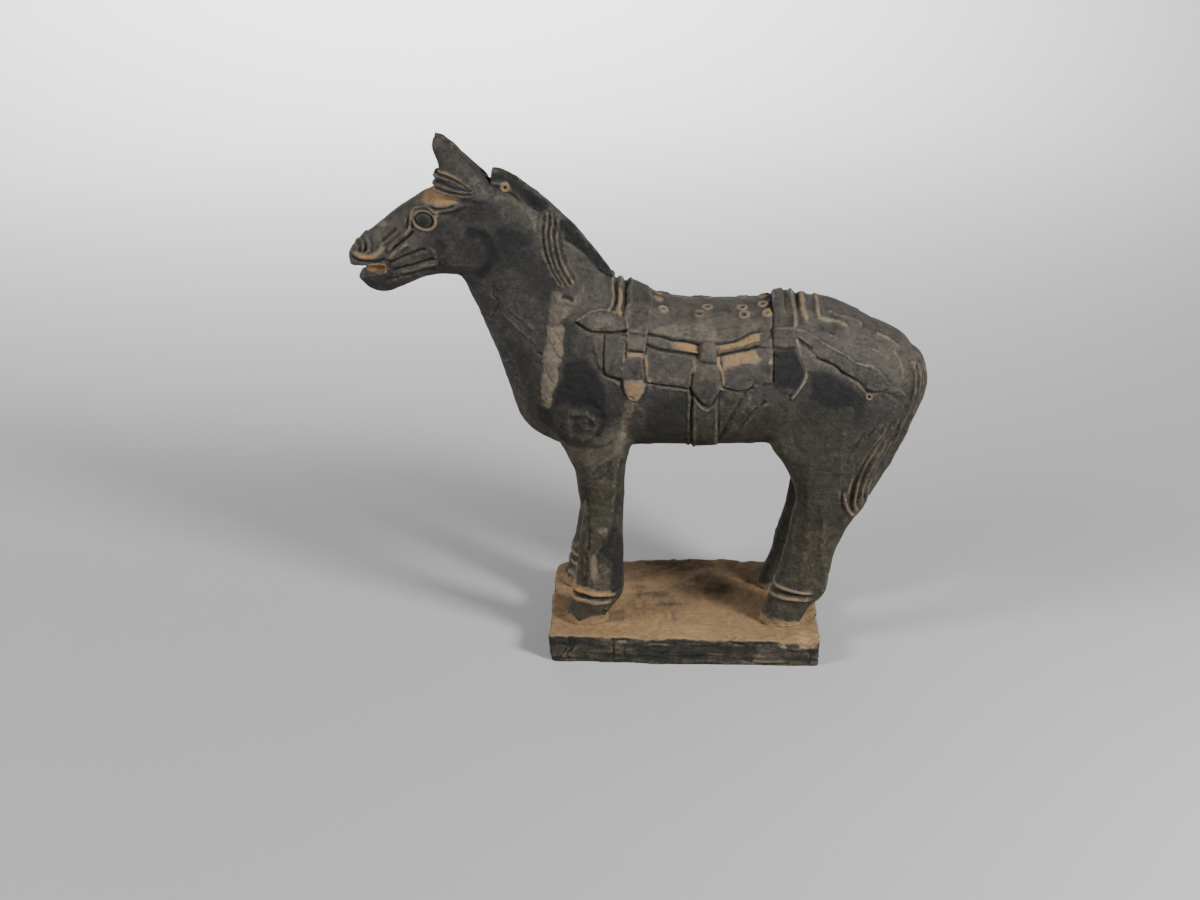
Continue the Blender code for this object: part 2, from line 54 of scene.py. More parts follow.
LOW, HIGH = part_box(CAD_NODE)
UNIT = (HIGH[2] - LOW[2]) / FIGURE_HEIGHT
LEFT, RIGHT = -1, 1  # signs of Y

# Points of a section, and sections made for each one that is given.
RING_POINTS = 64
STEPS_BETWEEN = 8
# The skins are fused by voxels of this size, and then smoothed in rounds.
VOXEL = 0.42
SMOOTHING_FACTOR = 0.5
FLESH_SMOOTHING = 96
DETAIL_SMOOTHING = 5
MOST_TRIANGLES = 192000

# ---------------------------------------------------------------- plinth and skins
PLINTH_HEIGHT = 9.2
PLINTH_EDGE_DROP = 0.7
PLINTH_EDGE_INSET = 0.5
CORNER_POINTS = 7
# Corners: X and Y at the top, X and Y at the bottom, rounding.
PLINTH_CORNERS = (
    ((-47, -28), (-46, -29.8), 1.6),
    ((0, -28.6), (0, -31), 20),
    ((46.3, -30.4), (46.2, -30.8), 1.2),
    ((46.2, 30.4), (46.2, 30.8), 3),
    ((0, 32.3), (0, 32.6), 26),
    ((-46.7, 28.8), (-46.2, 29.5), 5.5),
)
# Fullness of the sections: 2 is an ellipse, and more is squarer.
ROUND = 2.2
TRUNK_FULLNESS = 2.3
LEG_FULLNESS = 2.5
EAR_FULLNESS = 2.0
MANE_FULLNESS = 5.0
# Sections: X and Z of the upper or front edge, X and Z of the opposite edge, half width, and for
# a leg or an ear the Y of its middle.
SECTION_VALUES = 6
TRUNK = (
    (76.5, 101.5, 75, 90, 6.45),
    (75.4, 106, 71, 80, 12.47),
    (71.6, 110.5, 66, 71.5, 16.77),
    (61, 115.8, 56, 66, 19.78),
    (49, 121.4, 43, 67, 21.07),
    (36, 123.4, 30, 72.3, 21.5),
    (20, 121.3, 18, 72.4, 21.5),
    (5, 120.9, 5, 71.9, 21.5),
    (-8, 122.1, -8, 71.8, 21.5),
    (-18.6, 126.2, -22, 71.3, 21.5),
    (-26, 130, -38, 70.8, 21.07),
    (-31.4, 136.4, -49, 73.4, 19.78),
    (-37, 141.5, -56.2, 79.2, 17.63),
    (-42, 147, -60.3, 90, 15.27),
    (-47, 151.5, -63.7, 101, 13.12),
    (-53, 156, -68.4, 113, 11.18),
    (-60, 160, -73.2, 124, 9.89),
    (-68, 163, -77.4, 133, 9.03),
)
HEAD = (
    (-64, 160.5, -65, 135, 6.5),
    (-70, 163.5, -69, 130.5, 8.5),
    (-77, 163.8, -76.5, 130.6, 9.4),
    (-85, 161.3, -85.5, 130.7, 9.6),
    (-92.2, 157.2, -92, 128.2, 8.4),
    (-98.3, 152.8, -98, 125.3, 7),
    (-104.2, 148.1, -103, 124.2, 6.2),
    (-109.2, 144.2, -107.2, 126, 5.8),
    (-112.6, 140.6, -110.4, 129, 4.8),
    (-114.2, 137.8, -112.6, 132.4, 3.4),
)
FORELEG = (
    (-44, 104, -28, 106, 6, 10),
    (-46.5, 92, -22, 96, 8.2, 12.2),
    (-45.5, 80, -19.5, 84, 8.2, 13),
    (-41.6, 73, -19.2, 75, 7.6, 13.5),
    (-38.4, 66, -20.9, 68, 6.9, 14),
    (-36.9, 57, -21.6, 58, 6.3, 14),
    (-36.2, 47.5, -21.9, 47.5, 6.1, 14),
    (-36.8, 38, -21.8, 37.5, 6.1, 14),
    (-37.5, 28, -21.6, 28, 6.2, 14),
    (-38.4, 21.5, -21.3, 20.6, 6.4, 14),
    (-39.2, 17, -24.6, 15.8, 6.3, 14),
    (-40.6, 12, -26.8, 12, 6.6, 14),
    (-42.2, 6.2, -27.6, 6.2, 7, 14),
)
HINDLEG = (
    (44, 108, 64, 108, 6, 9.5),
    (36, 96, 72, 97, 8.4, 11.7),
    (29, 84, 71, 85, 8.6, 12.3),
    (27.6, 76, 67.4, 76.5, 8.4, 12.7),
    (31.4, 70, 65.2, 70, 8.1, 13),
    (35.2, 63.5, 62.8, 63.5, 7.7, 13.2),
    (36.9, 56.5, 60, 56.5, 7.2, 13.5),
    (36.4, 50, 57.2, 49.5, 6.8, 13.5),
    (35.2, 43.5, 54, 44, 6.4, 13.5),
    (33.8, 36, 51.3, 37, 6.2, 13.5),
    (32.3, 30, 49.8, 30, 6.2, 13.5),
    (31, 24.5, 49, 23.5, 6.3, 13.5),
    (29.9, 21, 48.3, 19.6, 6.4, 13.5),
    (28.6, 17, 44, 16.2, 6.3, 13.5),
    (27, 12.5, 41.7, 12.5, 6.6, 13.5),
    (25.6, 6.2, 40.2, 6.2, 7, 13.5),
)
EAR = (
    (-80.5, 159, -64.5, 158, 2.6, 5.2),
    (-82, 166.6, -67.6, 164.4, 2.5, 4.8),
    (-83, 171, -72.3, 169, 2.2, 4.2),
    (-84.6, 175.2, -77.2, 174.2, 1.7, 3.4),
    (-84.2, 178.8, -80.8, 177.6, 1, 2.8),
)
POLL = (
    (-65, 162.8, -65, 156, 3.6),
    (-68, 165.2, -68, 156, 5.2),
    (-72, 167.8, -72, 157, 5.6),
    (-76, 169.4, -76, 158, 5),
    (-79.6, 169, -79, 160, 3.8),
)
FORELOCK = (
    (-84.4, 165.8, -84.2, 158.5, 3),
    (-83.6, 166.6, -83, 158, 6.2),
    (-79, 166.2, -79, 157.6, 9),
    (-74, 164.5, -74, 157, 9.2),
    (-70, 162, -70.5, 157, 7.6),
)
MANE = (
    (-65.6, 167.6, -66, 154, 2.9),
    (-63, 167.4, -63, 152, 2.9),
    (-58, 164.8, -58, 150, 2.9),
    (-50, 159.1, -52, 146, 2.9),
    (-42, 151.6, -46, 140, 2.9),
    (-34, 142.8, -40, 132, 2.9),
    (-27, 133.2, -34, 124, 2.9),
    (-24.5, 129, -31, 121, 2.3),
)
TAIL = (
    (70.8, 108.9, 62, 103, 3.2),
    (77.4, 105.2, 60, 97.5, 6.2),
    (80.6, 97.6, 58, 90.5, 9),
    (79.4, 88, 56, 80, 10.8),
    (74.9, 76.5, 52, 69, 11.8),
    (68.3, 63.6, 50, 58, 12.4),
    (62, 51, 52, 49, 11.4),
    (59, 45.6, 54, 46.6, 8.4),
)
MOUTH_CORE = (
    (-98, 137, -98, 130, 3.8),
    (-104, 137, -104, 129, 4),
    (-108, 136.5, -107.6, 128.5, 3.4),
)
MOUTH_CORNER = (-101.0, 134.3)
MOUTH_GAP = 2.6
MOUTH_SLOPE = 0.08
MOUTH_CUT_LENGTH = 20.0
MOUTH_CUT_HALF_WIDTH = 12.0
LOWER_LIP_FRONT = (-110.4, 131.2)
CHIN_CUT_DROP = 5.0
CHIN_SLOPE = 0.8
FAR_FORELEG_STEP = 2.4
FORELEG_STEPS_BELOW = 50.0

# ---------------------------------------------------------------- relief of the two flanks
# How far the carver's hand strays from the lines given here, over what size, and its two seeds.
HAND_WANDER = 0.3
HAND_SIZE = 5.0
HAND_SEEDS = (1, 2)
# A limit is a place, along an axis or in a normal, and the width of its soft edge.
FLANK_TURN = (-0.25, 0.3)
FLANK_BOTTOM = PLINTH_HEIGHT + 1
# How lines are drawn.
LINE_STEPS = 4
LINE_SPREAD = 1.7
LINE_RAGGEDNESS = 0.25
WORN_SHARE = 0.95
WORN_RAGGEDNESS = 0.8
WORN_LIMITS = (0.1, 1.2)
# Plates: height, edge, outline as X and Z.
PLATES = (
    (0.8, 0.7, ((-13.4, 130), (-13.6, 116.2), (-8, 115.1), (-4, 114.4), (0, 113.7), (2.8, 113.1),
        (8.2, 113.2), (12, 113.5), (15, 114.2), (18, 115.1), (20, 116), (23, 117), (27.6, 117.6),
        (27.6, 130))),
    (0.6, 0.6, ((-14, 115.4), (-9, 114.4), (-6, 113.8), (-5.4, 112.4), (-2, 111.5), (2.9, 110.7),
        (2.9, 110.1), (-2, 110.7), (-8, 111.6), (-13.9, 113.1))),
    (0.6, 0.6, ((9.2, 111), (13, 111.6), (17, 112.4), (20, 113.2), (23.4, 114.3), (27.4, 115.6),
        (27.4, 112.6), (22.5, 112.9), (18, 111.7), (14, 110.8), (9.4, 110))),
    (0.65, 0.7, ((-13.8, 112.4), (-9, 111), (-2, 110), (1.8, 109.4), (2.3, 108), (1.7, 105.6), (0.9, 104),
        (0.5, 99.6), (-0.6, 99.2), (-4, 99.7), (-8, 100.1), (-12, 100.6), (-13.4, 101.2), (-14, 104),
        (-14.4, 109))),
    (0.65, 0.7, ((10.8, 109.4), (14, 110.3), (18, 111.3), (22, 112.2), (27.4, 112.4), (27.4, 101.5),
        (23, 100.3), (20.6, 100), (19, 98.9), (16, 98.6), (13, 99.1), (11.3, 99.7), (11.2, 104))),
    (1.6, 0.9, ((3.2, 108.2), (3.4, 112.4), (4.2, 113.6), (7.8, 113.6), (8.7, 112.6), (8.9, 108.4),
        (8.2, 107.6), (4.2, 107.6))),
    (1.1, 0.9, ((2.2, 108.8), (9.2, 108.8), (9.9, 104), (10.6, 100), (10, 97.4), (8.2, 95.2), (6.4, 93.2),
        (4.4, 94.3), (2.4, 96.6), (0.8, 98.6), (1.4, 103))),
    (0.6, 0.7, ((1.6, 96), (9.2, 96), (9.4, 80), (9.6, 62), (1.4, 62), (1.5, 80))),
    (0.9, 0.8, ((-20.4, 132), (-20.9, 123), (-20.5, 117), (-20.4, 111.2), (-14.8, 110.6), (-14, 117),
        (-13.3, 121), (-13, 132))),
    (0.45, 0.6, ((-20.6, 111.6), (-20.6, 108.6), (-15, 108.6), (-14.8, 111))),
    (0.8, 0.7, ((-21.6, 109), (-15.4, 109), (-14.5, 102.4), (-22.7, 102.4))),
    (0.9, 0.9, ((-21.8, 102.6), (-15.2, 102.4), (-13.9, 100.4), (-15, 97.4), (-17.2, 94.4), (-19.6, 94.6),
        (-21.4, 98))),
    (0.9, 0.8, ((27.5, 132), (27.5, 112.6), (35.2, 112.6), (34.8, 118), (34, 132))),
    (2.2, 1.6, ((27.8, 132), (27.8, 120.6), (31.8, 120.6), (31.6, 132))),
    (1.4, 1.6, ((31.4, 132), (31.4, 120.6), (34.6, 120.6), (34.2, 132))),
    (1.5, 1.4, ((-20.6, 132), (-20.8, 123.6), (-13.6, 121.6), (-13.2, 132))),
    (0.5, 0.8, ((27.8, 112.8), (27.9, 101), (31, 98.4), (34.4, 97), (36.6, 99.6), (37.8, 104),
        (36.6, 108.4), (35.3, 112.8))),
    (0.95, 0.8, ((-37, 120.9), (-34, 122.8), (-31.5, 123.7), (-29, 123.5), (-26, 122.5), (-23.2, 121.8),
        (-20.4, 121.4), (-20.4, 117.8), (-24, 117.4), (-28, 117.4), (-31.5, 117.6), (-33.5, 118.4),
        (-35.2, 119.5))),
    (0.45, 0.7, ((-31.8, 116.2), (-30.8, 111), (-29.6, 107.4), (-28.6, 104.4), (-26.8, 103),
        (-23.2, 101.8), (-22.2, 106), (-21.4, 109.6), (-20.6, 117))),
    (0.75, 0.6, ((-28, 116.6), (-28, 105.2), (-26.6, 103.8), (-23.4, 102.6), (-22.3, 106), (-21.4, 109.6),
        (-20.6, 116.4))),
    (0.8, 0.8, ((35.8, 114), (38, 112.9), (40.5, 111.5), (41.7, 110), (42.4, 107.6), (41.4, 106),
        (39.5, 105.3), (38.4, 105.4), (37.2, 108.5), (36.4, 111))),
    (0.85, 0.9, ((34.6, 117.8), (38, 117), (43, 114.4), (48, 111.6), (52, 109.5), (54, 107.8),
        (57, 106.7), (60, 105.9), (62, 104.6), (63.4, 103.4), (64.4, 101.6), (66, 100.1), (68, 98.7),
        (70, 97), (71.4, 95.2), (69.5, 95.4), (66, 97.4), (63, 97.4), (60.2, 98), (58.2, 98.4),
        (56.4, 100.6), (54, 102.6), (51, 104.6), (49, 106.8), (46, 107.9), (42, 109.9), (39.6, 112.4),
        (36, 114.8), (34.6, 115.2))),
)
# Lines: width, height (sunk below 0), tone (above 0 worn to tan, below 0 dark: painted shade in sunk
# grooves, stain elsewhere), points.
LINES = (
    # bands and ribs at the withers
    (0.9, 0.5, 0.4, ((-20.3, 128), (-20.9, 124), (-21.1, 121.2), (-20.6, 119), (-20.3, 111.5))),
    (0.8, 0.4, 0.35, ((-13.1, 126), (-13.4, 120), (-14, 117), (-14.6, 113.5), (-14.9, 109.4))),
    (0.9, 0.4, 0.45, ((-20.3, 117.7), (-17, 117), (-14.8, 116.5))),
    (0.7, -0.5, -0.5, ((-20, 116.6), (-15, 115.8))),
    (0.9, -0.7, -0.9, ((-20.2, 111.5), (-17.6, 111.1), (-15.1, 110.7))),
    (0.8, 0.5, 0.5, ((-21.4, 109.4), (-22.2, 106), (-22.8, 102.6))),
    (0.7, 0.3, 0.35, ((-15.6, 109), (-16.2, 106), (-16.5, 103))),
    (1.4, 0.8, 0.5, ((-26, 131), (-25.8, 127), (-25.9, 124.6), (-26.8, 123.6))),
    (1.5, 0.9, 0.9, ((-23.3, 129.4), (-23.3, 126), (-23.6, 123.6), (-23, 122.2))),
    (1, -0.5, -0.3, ((-24.7, 128.8), (-25, 125.6), (-25.6, 123.4))),
    (1.1, 0.4, 0.6, ((-29.5, 124.3), (-26.4, 123.4), (-23.2, 122.1))),
    # leaf-shaped strap end and the panel under it
    (0.9, 0.4, 0.5, ((-37, 121.1), (-33.6, 123.4), (-30.6, 124.2), (-28, 123.9))),
    (0.8, -0.6, -0.9, ((-36.9, 120.5), (-35, 119.2), (-33.2, 118), (-31.4, 117.4), (-27.5, 117.2),
        (-24, 117.3), (-20.8, 117.7))),
    (0.7, -0.4, -0.8, ((-22.6, 116.5), (-20.4, 116))),
    (0.8, 0.3, 0.3, ((-32, 115.8), (-31, 112), (-29.8, 108), (-28.9, 105.8))),
    (0.5, -0.4, -0.5, ((-28.2, 116.8), (-28.2, 105.6))),
    (0.6, 0.2, 0.25, ((-27.5, 116.2), (-27.7, 106.2))),
    (1.1, -0.8, -1, ((-28.3, 105.4), (-28, 104.1), (-26.8, 103.1), (-25, 102.5), (-23.2, 101.8))),
    (0.8, 0.4, 0.35, ((-26.6, 102.2), (-24.8, 101.4), (-23.2, 100.2))),
    (0.7, -0.4, -0.7, ((-22.6, 102.6), (-22, 100.4), (-21.3, 98))),
    (0.7, -0.4, -0.6, ((-19.7, 96), (-18.4, 95.3))),
    # seat, strap under it, and skirts
    (0.9, -0.5, -0.95, ((-13.8, 116.2), (-8, 115), (-4, 114.3), (0, 113.5), (2.9, 112.9))),
    (0.8, -0.5, -0.75, ((8.6, 113.1), (12, 113.4), (15, 114.1), (18, 115.1), (20.5, 116.1),
        (22.8, 116.9))),
    (0.6, 0.2, 0.4, ((-13.6, 115.4), (-9, 114.5), (-6, 113.9))),
    (0.9, -0.6, -0.95, ((-13.9, 113), (-12, 112.2), (-9, 111.6), (-5, 111), (-1, 110.5), (2.8, 109.9))),
    (0.9, -0.6, -0.95, ((9.3, 109.7), (11, 110), (14, 110.6), (17, 111.3), (20, 112), (22.2, 112.6))),
    (0.7, 0.2, 0.35, ((-13.6, 112.2), (-9, 110.8), (-4, 110), (0, 109.6))),
    (1.4, 0.5, 0.95, ((-14.5, 109.4), (-14.1, 106), (-13.8, 103), (-13.2, 101.5))),
    (0.8, -0.6, -0.9, ((-13.4, 100.9), (-12, 100.6), (-8, 100), (-4, 99.6), (-0.5, 99.1))),
    (0.8, 0.4, 0.35, ((-11, 99.6), (-6, 98.9), (-2.6, 98.3), (-0.9, 98.3))),
    (1.4, 0.2, 0.9, ((0.2, 109.3), (1.5, 108.3), (1.9, 106.6), (1.3, 104.8))),
    (1.1, 0.4, 0.9, ((9.6, 110), (9.8, 107), (10.6, 105), (11.2, 102), (11, 98.8))),
    (0.7, -0.5, -0.8, ((11.4, 99.5), (13, 99), (16, 98.5), (19, 98.7), (20.6, 99.9))),
    (0.6, -0.4, -0.6, ((20.6, 99.9), (21.8, 101.6), (22.6, 101), (26, 101.2))),
    (0.5, -0.3, -0.5, ((4.4, 107.5), (8.8, 107.2))),
    (0.9, -0.5, -0.8, ((0.2, 99.4), (2, 96.6), (4.2, 93.8), (6.4, 92.6), (7.8, 93.6), (9, 95.6),
        (10.4, 97.8))),
    (0.8, 0.3, 0.5, ((1.2, 96.2), (3.6, 93), (6.2, 91.8), (7.8, 92.8))),
    # girth
    (0.9, 0.5, 0.3, ((-0.2, 99), (0.1, 92), (0.3, 84), (0.4, 74))),
    (0.8, 0.5, 0.3, ((1.9, 95), (2, 86), (2, 74))),
    (0.7, -0.4, -0.5, ((1.1, 97), (1.1, 86), (1.2, 74))),
    (0.8, 0.4, 0.3, ((9.6, 95), (9.2, 88), (9.6, 80), (9.9, 73))),
    (0.7, -0.4, -0.7, ((10.1, 96), (10, 88), (10.4, 80), (10.4, 74))),
    # rear band, its panel and the ribs behind it
    (0.9, 0.4, 0.5, ((27.8, 117.2), (31, 117.5), (34.8, 117.7))),
    (0.9, -0.6, -0.9, ((28.2, 112.7), (31, 112.3), (34, 112.4))),
    (0.7, -0.5, -0.4, ((27.4, 122.6), (27.4, 116), (27.4, 110), (27.6, 102))),
    (1.4, 0.3, 0, ((29.2, 111), (32, 110.9), (34.2, 110.2))),
    (1.1, 0.8, 0.6, ((35.2, 114.6), (36.2, 111.4), (37, 108.4), (38, 105.8), (38.3, 103.6), (37.4, 101),
        (35.8, 98.4), (34.4, 96))),
    (1.4, 0.8, 0.6, ((33.2, 124.6), (34.8, 121.5), (34.9, 118.4))),
    (1.8, 0.9, 0.9, ((37, 124.4), (37.6, 121.6), (38.2, 120.2))),
    (1.5, 0.8, 0.85, ((42, 124), (42.3, 121), (43.4, 119.9), (46, 119.4), (49, 118.8), (51, 117.6),
        (52.3, 116.2))),
    (0.8, 0.4, 0.4, ((39.4, 105), (41.6, 105.8), (42.7, 107.6), (42.2, 109.4))),
    # crupper
    (1, 0.5, 0.5, ((35.4, 117.6), (38.4, 117), (41, 115.5), (45, 113.2), (49, 111.1), (52, 109.6),
        (54, 107.8), (57, 106.7), (60, 106), (62, 104.8), (63.3, 103.6), (64.4, 101.6), (66, 100.2),
        (68.5, 98.6), (70.2, 97), (71.3, 95.4))),
    (0.7, 0.4, 0.4, ((35.6, 115.9), (37.4, 114.6), (39.4, 113.6))),
    (0.6, -0.5, -0.8, ((35.8, 115.2), (38, 113.9), (40, 112.5))),
    (0.7, -0.6, -0.9, ((41.8, 109.6), (45, 108.2), (49, 106.2), (50.4, 104.8), (54, 102.6), (56.4, 101),
        (58.4, 98.8), (59.6, 97.8), (63.4, 97.6), (65, 98.2))),
    (0.8, 0.2, 0.4, ((52, 102.8), (55.6, 100.2), (57.6, 97.8))),
    (0.9, 0.25, 0.3, ((61, 97.2), (64.4, 96.8), (68, 94.4), (70.6, 91.8))),
    (0.7, 0.4, 0.45, ((55.4, 101), (57.2, 98.8), (58.4, 97.2), (59, 95.4), (60.4, 95.4), (61, 96.6),
        (62.2, 97))),
    (0.8, -0.5, -0.9, ((46.2, 116.4), (47.4, 116))),
    (0.9, 0.3, 0.8, ((46, 115.9), (47.6, 115.2))),
    (0.9, 0.2, 0.35, ((68.2, 108.8), (70.4, 105.6), (71.2, 101))),
    # streaks along the croup and hairs down the tail
    (0.7, 0.3, 0.5, ((46, 121.4), (51, 119.6), (57, 116.8))),
    (0.8, 0.3, 0.45, ((62.4, 113.8), (66.6, 111.6), (70, 109.4))),
    (0.8, 0.2, 0.3, ((53, 113), (60, 110.6), (66, 107.4))),
    (0.9, -0.5, -0.5, ((73.4, 105), (75.4, 99), (74.8, 92), (72.6, 87.4), (70.8, 84.6))),
    (0.9, 0.35, 0.3, ((74.6, 104), (76.4, 98), (75.8, 91), (73.4, 84.8), (70.4, 79.4))),
    (0.8, -0.5, -0.55, ((75.6, 103), (77.4, 97), (76.8, 90), (74.4, 83.4), (71.2, 76.6), (68.2, 69.8),
        (65.4, 63), (63.4, 56.6))),
    (0.9, 0.35, 0.3, ((77, 102), (78.4, 95.6), (77.6, 88.6), (75, 81.4), (71.8, 74.4), (69, 67.6),
        (66.2, 60.8), (64.4, 54.4))),
    (0.8, -0.45, -0.45, ((78.4, 99), (79.2, 93), (78, 86), (75.2, 78.6), (72, 71.6), (69, 64.4),
        (66.2, 57.4))),
    (0.7, -0.4, -0.45, ((71, 93.4), (72.4, 89.4), (71.4, 86))),
    (0.7, -0.4, -0.4, ((70.2, 84.4), (70.4, 80), (68.4, 76))),
    (0.7, 0.3, 0.25, ((71.8, 82.6), (70.6, 77.6), (68, 72.6))),
    (0.7, -0.4, -0.5, ((68.4, 93), (66.2, 89.4), (63, 85.4), (60.2, 82.2))),
    # folds behind the girth
    (1.2, -0.5, -0.35, ((18.4, 97.6), (16.6, 93), (14, 88), (12, 83), (11, 79))),
    (1.2, 0.3, 0, ((20, 96), (18, 91), (15.6, 86.6), (13.6, 82))),
    (1, -0.4, -0.3, ((22.6, 92), (19.6, 88), (17, 83.6))),
    (1, -0.6, -0.9, ((25.4, 94.3), (23.8, 93.2))),
    # strands of the tail
    (1.6, -1, -0.7, ((68.6, 85.6), (66.5, 82.4), (64.2, 79.2), (61.8, 75.8), (59.6, 72), (57.6, 68),
        (56.3, 64), (55.5, 60), (55.6, 56.6), (56.6, 53.4))),
    (1.1, 0.5, 0.5, ((66, 83.6), (62.6, 78.8), (59.8, 74.6), (57.2, 69.6), (55.2, 65), (54, 61))),
    (1.1, -0.8, -0.4, ((66.6, 80.4), (63.4, 75.4), (60.8, 71), (59.2, 66.4), (58.2, 61.4), (58, 57),
        (58.6, 53.4))),
    (1.2, 0.6, 0.5, ((65.4, 80.6), (62.4, 75.6), (59.8, 70.8), (57.8, 65.6), (56.8, 60.6), (56.8, 56.4),
        (57.6, 53))),
    (1.1, -0.8, -0.4, ((67.6, 77.6), (64.6, 72.4), (62.2, 67.8), (60.8, 62.6), (60.2, 57.6), (60.4, 53))),
    (1.1, 0.5, 0.35, ((66.6, 77.4), (63.4, 72.2), (61, 67.4), (59.5, 62), (59, 57), (59.4, 52.6))),
    (1, -0.6, -0.3, ((69.4, 75), (66.4, 69.4), (64, 64), (62.6, 58.4), (62, 53))),
    (1, 0.4, 0.3, ((68.4, 75.4), (65.2, 69.6), (62.8, 64.4), (61.4, 58.6), (61, 53))),
    (1.3, 0.6, 0.6, ((52.8, 60.6), (53.6, 57.2), (55, 54), (56.2, 52.4))),
    (1, -0.4, -0.5, ((52, 62), (52, 58), (52.8, 54.4))),
    (0.9, -0.4, -0.25, ((58.6, 83), (56.4, 79), (54, 75), (53.4, 72))),
)
# Patches: tone, edge, outline. A tone below 0 darkens, with stain and with painted shade.
PATCHES = (
    (1, 0.5, ((-5.9, 113.6), (-5.5, 112.2), (-2, 111.3), (2.9, 110.4), (3, 112.6), (0, 113.2),
        (-4, 114))),
    (1, 0.5, ((8.6, 112.9), (12, 113.2), (16, 114.2), (19, 115.3), (21, 116.1), (23.3, 116.5),
        (23.3, 114.3), (20, 113.3), (17, 112.5), (13, 111.7), (9.3, 110.9))),
    (0.76, 1.2, ((10.4, 109.4), (14, 110.3), (18, 111.3), (21.9, 112.1), (22.4, 110.5), (23.4, 109),
        (22.4, 107.6), (18, 107.6), (14.5, 106.5), (12, 105.7), (11, 104))),
    (0.9, 0.5, ((-20.4, 110.9), (-20.4, 109.2), (-15.1, 109.1), (-14.9, 110.4))),
    (0.75, 1.2, ((-21.4, 102), (-15.4, 102), (-13.9, 100.2), (-15, 97.4), (-17.4, 93.6), (-19.6, 94),
        (-21.4, 98))),
    (0.42, 2, ((-20.6, 96), (-16.8, 94), (-19, 87), (-20.4, 80), (-21.6, 72), (-26, 74), (-23.6, 82),
        (-22, 90))),
    (0.4, 1.6, ((1.5, 118.2), (8, 117.8), (9.4, 115.6), (9.4, 113.4), (1.5, 113.4))),
    (1.3, 0.3, ((-8.9, 109.8), (-8.2, 110.1), (-8.1, 109.4), (-8.7, 109.2))),
    (1.3, 0.4, ((26.3, 109.2), (27, 109.1), (27, 107.6), (26.4, 107.8))),
    (0.3, 1.2, ((2.4, 107), (9, 107), (9.2, 102.4), (6, 101.2), (3, 102))),
    (0.35, 1, ((-35, 121), (-31.4, 122.8), (-24.4, 121.2), (-24.4, 118.6), (-31, 118.2))),
    (0.3, 1.2, ((-20, 115.4), (-15.2, 115.2), (-15.2, 111.6), (-20, 111.8))),
    (-0.9, 1.4, ((28, 112), (35, 112), (36.6, 108), (37.8, 104), (36.4, 100), (31, 99), (28, 101))),
    (-0.55, 1.4, ((27, 108), (22.5, 107.6), (23.4, 105), (27, 103.6))),
    (0.35, 3, ((-12, 104), (-1, 104), (-0.6, 100.4), (-12.6, 101.4))),
    (-0.3, 2, ((-13, 109), (-1.4, 108.4), (-1, 105), (-12.6, 105.4))),
    (0.36, 2.2, ((-13, 118.4), (2, 117.6), (2, 114), (-13, 115.4))),
    (0.28, 2.2, ((9, 117), (18, 118.6), (25, 119.4), (25, 117.4), (17, 115.8), (9, 114.4))),
    (0.28, 2, ((29, 126), (44, 124), (46, 119), (29, 120))),
    (0.3, 1, ((3, 120.6), (6.6, 119.6), (8.4, 116.6), (8.6, 113.6), (4, 113.6), (5, 117))),
    (-0.5, 1, ((-19.8, 128), (-14.2, 127), (-13.8, 118.6), (-19.8, 118.4))),
    (-0.4, 1.4, ((28, 126), (34, 126), (34.4, 113.4), (28, 113.4))),
    (-0.4, 1.2, ((-19.6, 108.6), (-15.6, 108.6), (-15.4, 103.4), (-20.4, 103.4))),
    (-0.6, 3, ((-13.6, 98), (-0.8, 97), (-0.8, 80), (-8, 76), (-15, 82))),
    (-0.4, 2, ((11, 96), (18, 96), (14, 86), (11, 80))),
    (-0.95, 3.4, ((40, 105), (47, 104.6), (54, 99.8), (58, 96.6), (55, 92.6), (47, 92), (40, 96))),
    (-0.85, 1.8, ((54, 97.4), (59, 95.4), (59, 92), (56.6, 89.6), (55.6, 85.2), (54.4, 90))),
    (-0.5, 4, ((38, 97), (46, 93), (54, 88), (48, 85), (39, 88))),
    (-0.5, 6, ((56, 106), (68, 102), (77, 94), (77, 76), (70, 62), (54, 66), (53, 90))),
    (-0.45, 5, ((34, 90), (44, 88), (46, 62), (40, 52), (36, 58))),
    # painted shade along the underside of the belly and chest
    (-0.5, 3, ((-22, 79), (9, 79), (9, 68), (-22, 68))),
    (-0.4, 3, ((-32, 80), (-20, 80), (-22, 66), (-32, 66))),
    (-0.55, 0.9, ((42.4, 119.2), (49, 118.6), (51.6, 116.4), (47, 115.8), (42, 117.2))),
    (-0.35, 1, ((42, 112.8), (52, 108.2), (62, 103.6), (64.6, 99.4), (60, 98.6), (54, 103.6))),
)
